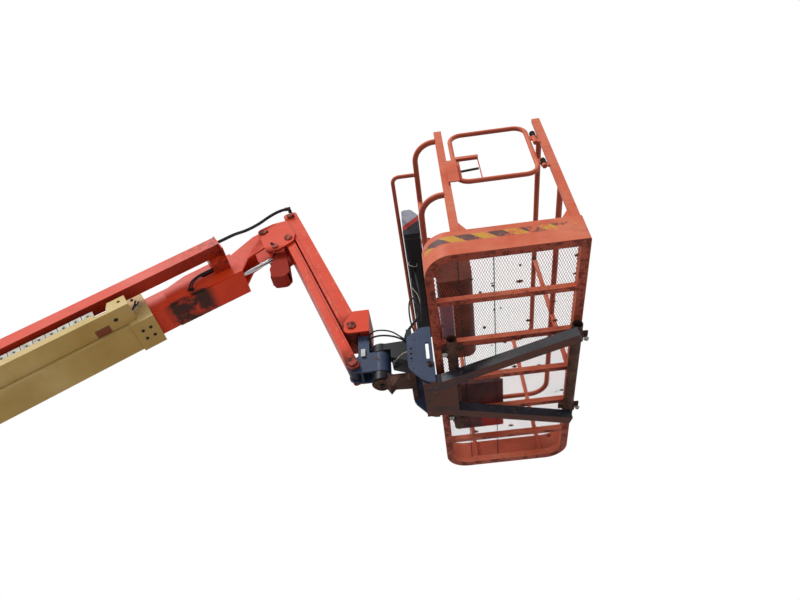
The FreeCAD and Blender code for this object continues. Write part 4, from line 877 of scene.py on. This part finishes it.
# Joint leads: two rubber leads that arc from the clevis over the turning
# joint to the upper arm, slack enough to turn with it, and a pale valve wire.
for name, rise, radius, side in (("joint_lead_upper", 0.03, 0.0045, -0.075),
                                 ("joint_lead_lower", 0.0, 0.0055, -0.06)):
    lead = trim_wire(name, [(4.17, side + 0.01, 1.2), (4.196, side, 1.212 + rise), (4.25, side, 1.222 + rise),
                            (4.32, side, 1.206 + rise * 0.8), (4.372, side, 1.176), (4.4, side, 1.148)],
                     radius, hose_rubber)
    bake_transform(lead)
pale = Finish("pale_wire", 0.55)
grime = pale.noise(90.0, 4.0).above(0.45, 0.7)
pale_wire = pale.done(pale.mix(grime, srgb(196, 188, 172), srgb(120, 108, 92)), grime)
wire_route = ((0.006, -0.022, 0.008), (0.016, -0.032, 0.02), (0.04, -0.045, 0.03),
              (0.062, -0.06, 0.028), (0.078, -0.068, 0.022))
valve_wire = trim_wire("valve_wire", [VALVE + Vector(step) for step in wire_route], 0.0022, pale_wire)
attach(valve_wire, "platform")

# Tray leads: three leads that come out of the tray's mouth, curl over and go
# back to the collar, held by a tie.
for name, lift, radius, far_u, material in (("tray_lead_a", 0.05, 0.005, 3.11, hose_rubber),
                                            ("tray_lead_b", 0.03, 0.004, 3.125, hose_rubber),
                                            ("tray_lead_c", 0.018, 0.003, 3.14, pale_wire)):
    curl = ((3.09, -0.16, -0.085 + lift * 0.3), (3.118, -0.175, -0.09 + lift * 0.4),
            (far_u + 0.035, -0.18, -0.07 + lift * 0.8), (far_u + 0.05, -0.16, -0.03 + lift),
            (far_u + 0.03, -0.135, -0.01 + lift), (far_u + 0.03, -0.112, -0.03 + lift))
    lead = trim_wire(name, [in_boom(*point) for point in curl], radius, material)
    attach(lead, "base_section")

# Console: grey moulded cover over a dark case, on red plates that hook over
# the rails. The deep box below it is painted dark brown.
cover = Finish("console_plastic", 0.5)
scuff = cover.noise(16.0, 6.0).above(0.45, 0.75)
shell = cover.mix(scuff, srgb(150, 155, 166), srgb(118, 122, 132))
case = cover.axis("Y").above(-0.36, -0.355) * (1 - cover.axis("Z").above(1.93, 1.935))
colour = cover.mix(case, shell, srgb(30, 30, 36))
near_end = 1 - cover.axis("Y").above(-0.362, -0.357)
wedge = cover.axis("Z") - 1.784 - (cover.axis("X") - 4.479) * 0.92
colour = cover.mix(near_end * (1 - wedge.above(-0.001, 0.001)), colour, srgb(26, 26, 34))
colour = cover.mix(near_end * wedge.inside(0.0, 0.045, 0.001), colour, srgb(158, 34, 30))
# Painted shade: the console is darkened almost to black where it faces down.
dress(cover.done(cover.mix(cover.below() * 0.8, colour, srgb(30, 28, 32)), scuff, scuff, 0.0002), "console_box")
red = Finish("red_paint", 0.5)
dress(red.done(*worn(red, red.mix(red.noise(8.0).above(0.4, 0.7), srgb(160, 40, 32), srgb(186, 62, 48)),
                     srgb(70, 20, 18), srgb(70, 40, 32), 0.68, 0.7)), "console_brackets")
brown = Finish("brown_paint", 0.55)
colour, wear, grain = worn(brown, brown.mix(brown.noise(8.0).above(0.4, 0.7), srgb(84, 40, 30), srgb(112, 58, 42)),
                           srgb(50, 28, 24), srgb(30, 18, 16), 0.62, 0.6)
sheet_side = brown.below() * (1 - brown.axis("X").above(4.7, 4.704)) * (1 - brown.axis("Y").above(0.3, 0.305))
lining = sheet_side * brown.axis("Y").above(0.0, 0.004)
# Painted highlight: a thin near-white line along the underside at X 4.7.
edge_highlight = brown.axis("X").inside(4.7, 4.706, 0.001) * brown.below() * brown.axis("Y").inside(0.0, 0.3, 0.003)
colour = brown.mix(lining * 0.9, colour, srgb(112, 100, 120))
dress(brown.done(brown.mix(edge_highlight, colour, srgb(208, 206, 210)), wear, grain), "storage_box")

# Foot switch: a dark cast guard round a red pedal. It stands loose on the
# floor and is gritty with dirt.
pedal = Finish("pedal_black", 0.6)
grit = pedal.noise(60.0, 5.0).above(0.5, 0.7)
tread = pedal.axis("X").above(4.796, 4.799) * pedal.axis("Y").above(0.285, 0.288)
colour = pedal.mix(grit, srgb(62, 46, 56), srgb(96, 80, 84))
colour = pedal.mix(tread * 0.9, colour, srgb(168, 32, 34))
dress(pedal.done(colour, grit, grit, 0.0003), "foot_switch")

# Platform cable: a bundled black lead from the turning joint up the left rail
# to the console.
CABLE_RADIUS, CABLE_Y = 0.008, -0.04
cable_route = [(4.39, CABLE_Y, 1.16), (4.396, CABLE_Y - 0.004, 1.22), (4.444, CABLE_Y - 0.016, 1.28),
               (4.49, CABLE_Y - 0.02, 1.34), (4.496, CABLE_Y - 0.01, 1.42), (4.47, CABLE_Y, 1.51),
               (4.46, CABLE_Y + 0.006, 1.61), (4.466, CABLE_Y + 0.004, 1.72)]
cable = cord_curve("console_cable", cable_route, CABLE_RADIUS)
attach(cable, "platform")
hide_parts("platform_cable")

# Console leads: loops of black and pale wire that hang from the console and
# beside the cable, tied off on the side plates.
for name, points, radius, material in (
        ("loop_lead", [(4.468, -0.1, 1.13), (4.444, -0.14, 1.19), (4.436, -0.152, 1.27), (4.438, -0.152, 1.36),
                       (4.455, -0.15, 1.42), (4.482, -0.142, 1.395), (4.492, -0.11, 1.33), (4.492, -0.075, 1.28)],
         0.005, hose_rubber),
        ("rail_lead", [(4.5, -0.06, 1.3), (4.512, -0.09, 1.4), (4.506, -0.12, 1.52), (4.496, -0.11, 1.62),
                       (4.492, -0.1, 1.725)], 0.006, hose_rubber),
        ("console_wire_a", [(4.47, -0.17, 1.722), (4.456, -0.19, 1.69), (4.462, -0.2, 1.655), (4.49, -0.19, 1.65),
                            (4.512, -0.16, 1.68), (4.51, -0.15, 1.722)], 0.002, pale_wire),
        ("console_wire_b", [(4.47, 0.02, 1.722), (4.454, -0.02, 1.66), (4.47, -0.06, 1.58), (4.5, -0.08, 1.5),
                            (4.506, -0.07, 1.42)], 0.002, pale_wire)):
    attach(trim_wire(name, points, radius, material), "platform")

# Yard floor: pale concrete, a little uneven in tone, cast well below the part,
# which never touches it.
YARD_SIZE, YARD_MIDDLE = 60, (3, 0, -1.32)
CONCRETE, CONCRETE_DULL = (0.72, 0.71, 0.69), (0.66, 0.65, 0.63)
ground = added(bpy.ops.mesh.primitive_plane_add, "ground", size=YARD_SIZE, location=YARD_MIDDLE)
concrete = Finish("pale_ground", 0.9)
tone = concrete.noise(0.8, 5.0).above(0.3, 0.7)
ground.data.materials.append(concrete.done(concrete.mix(tone, CONCRETE, CONCRETE_DULL)))
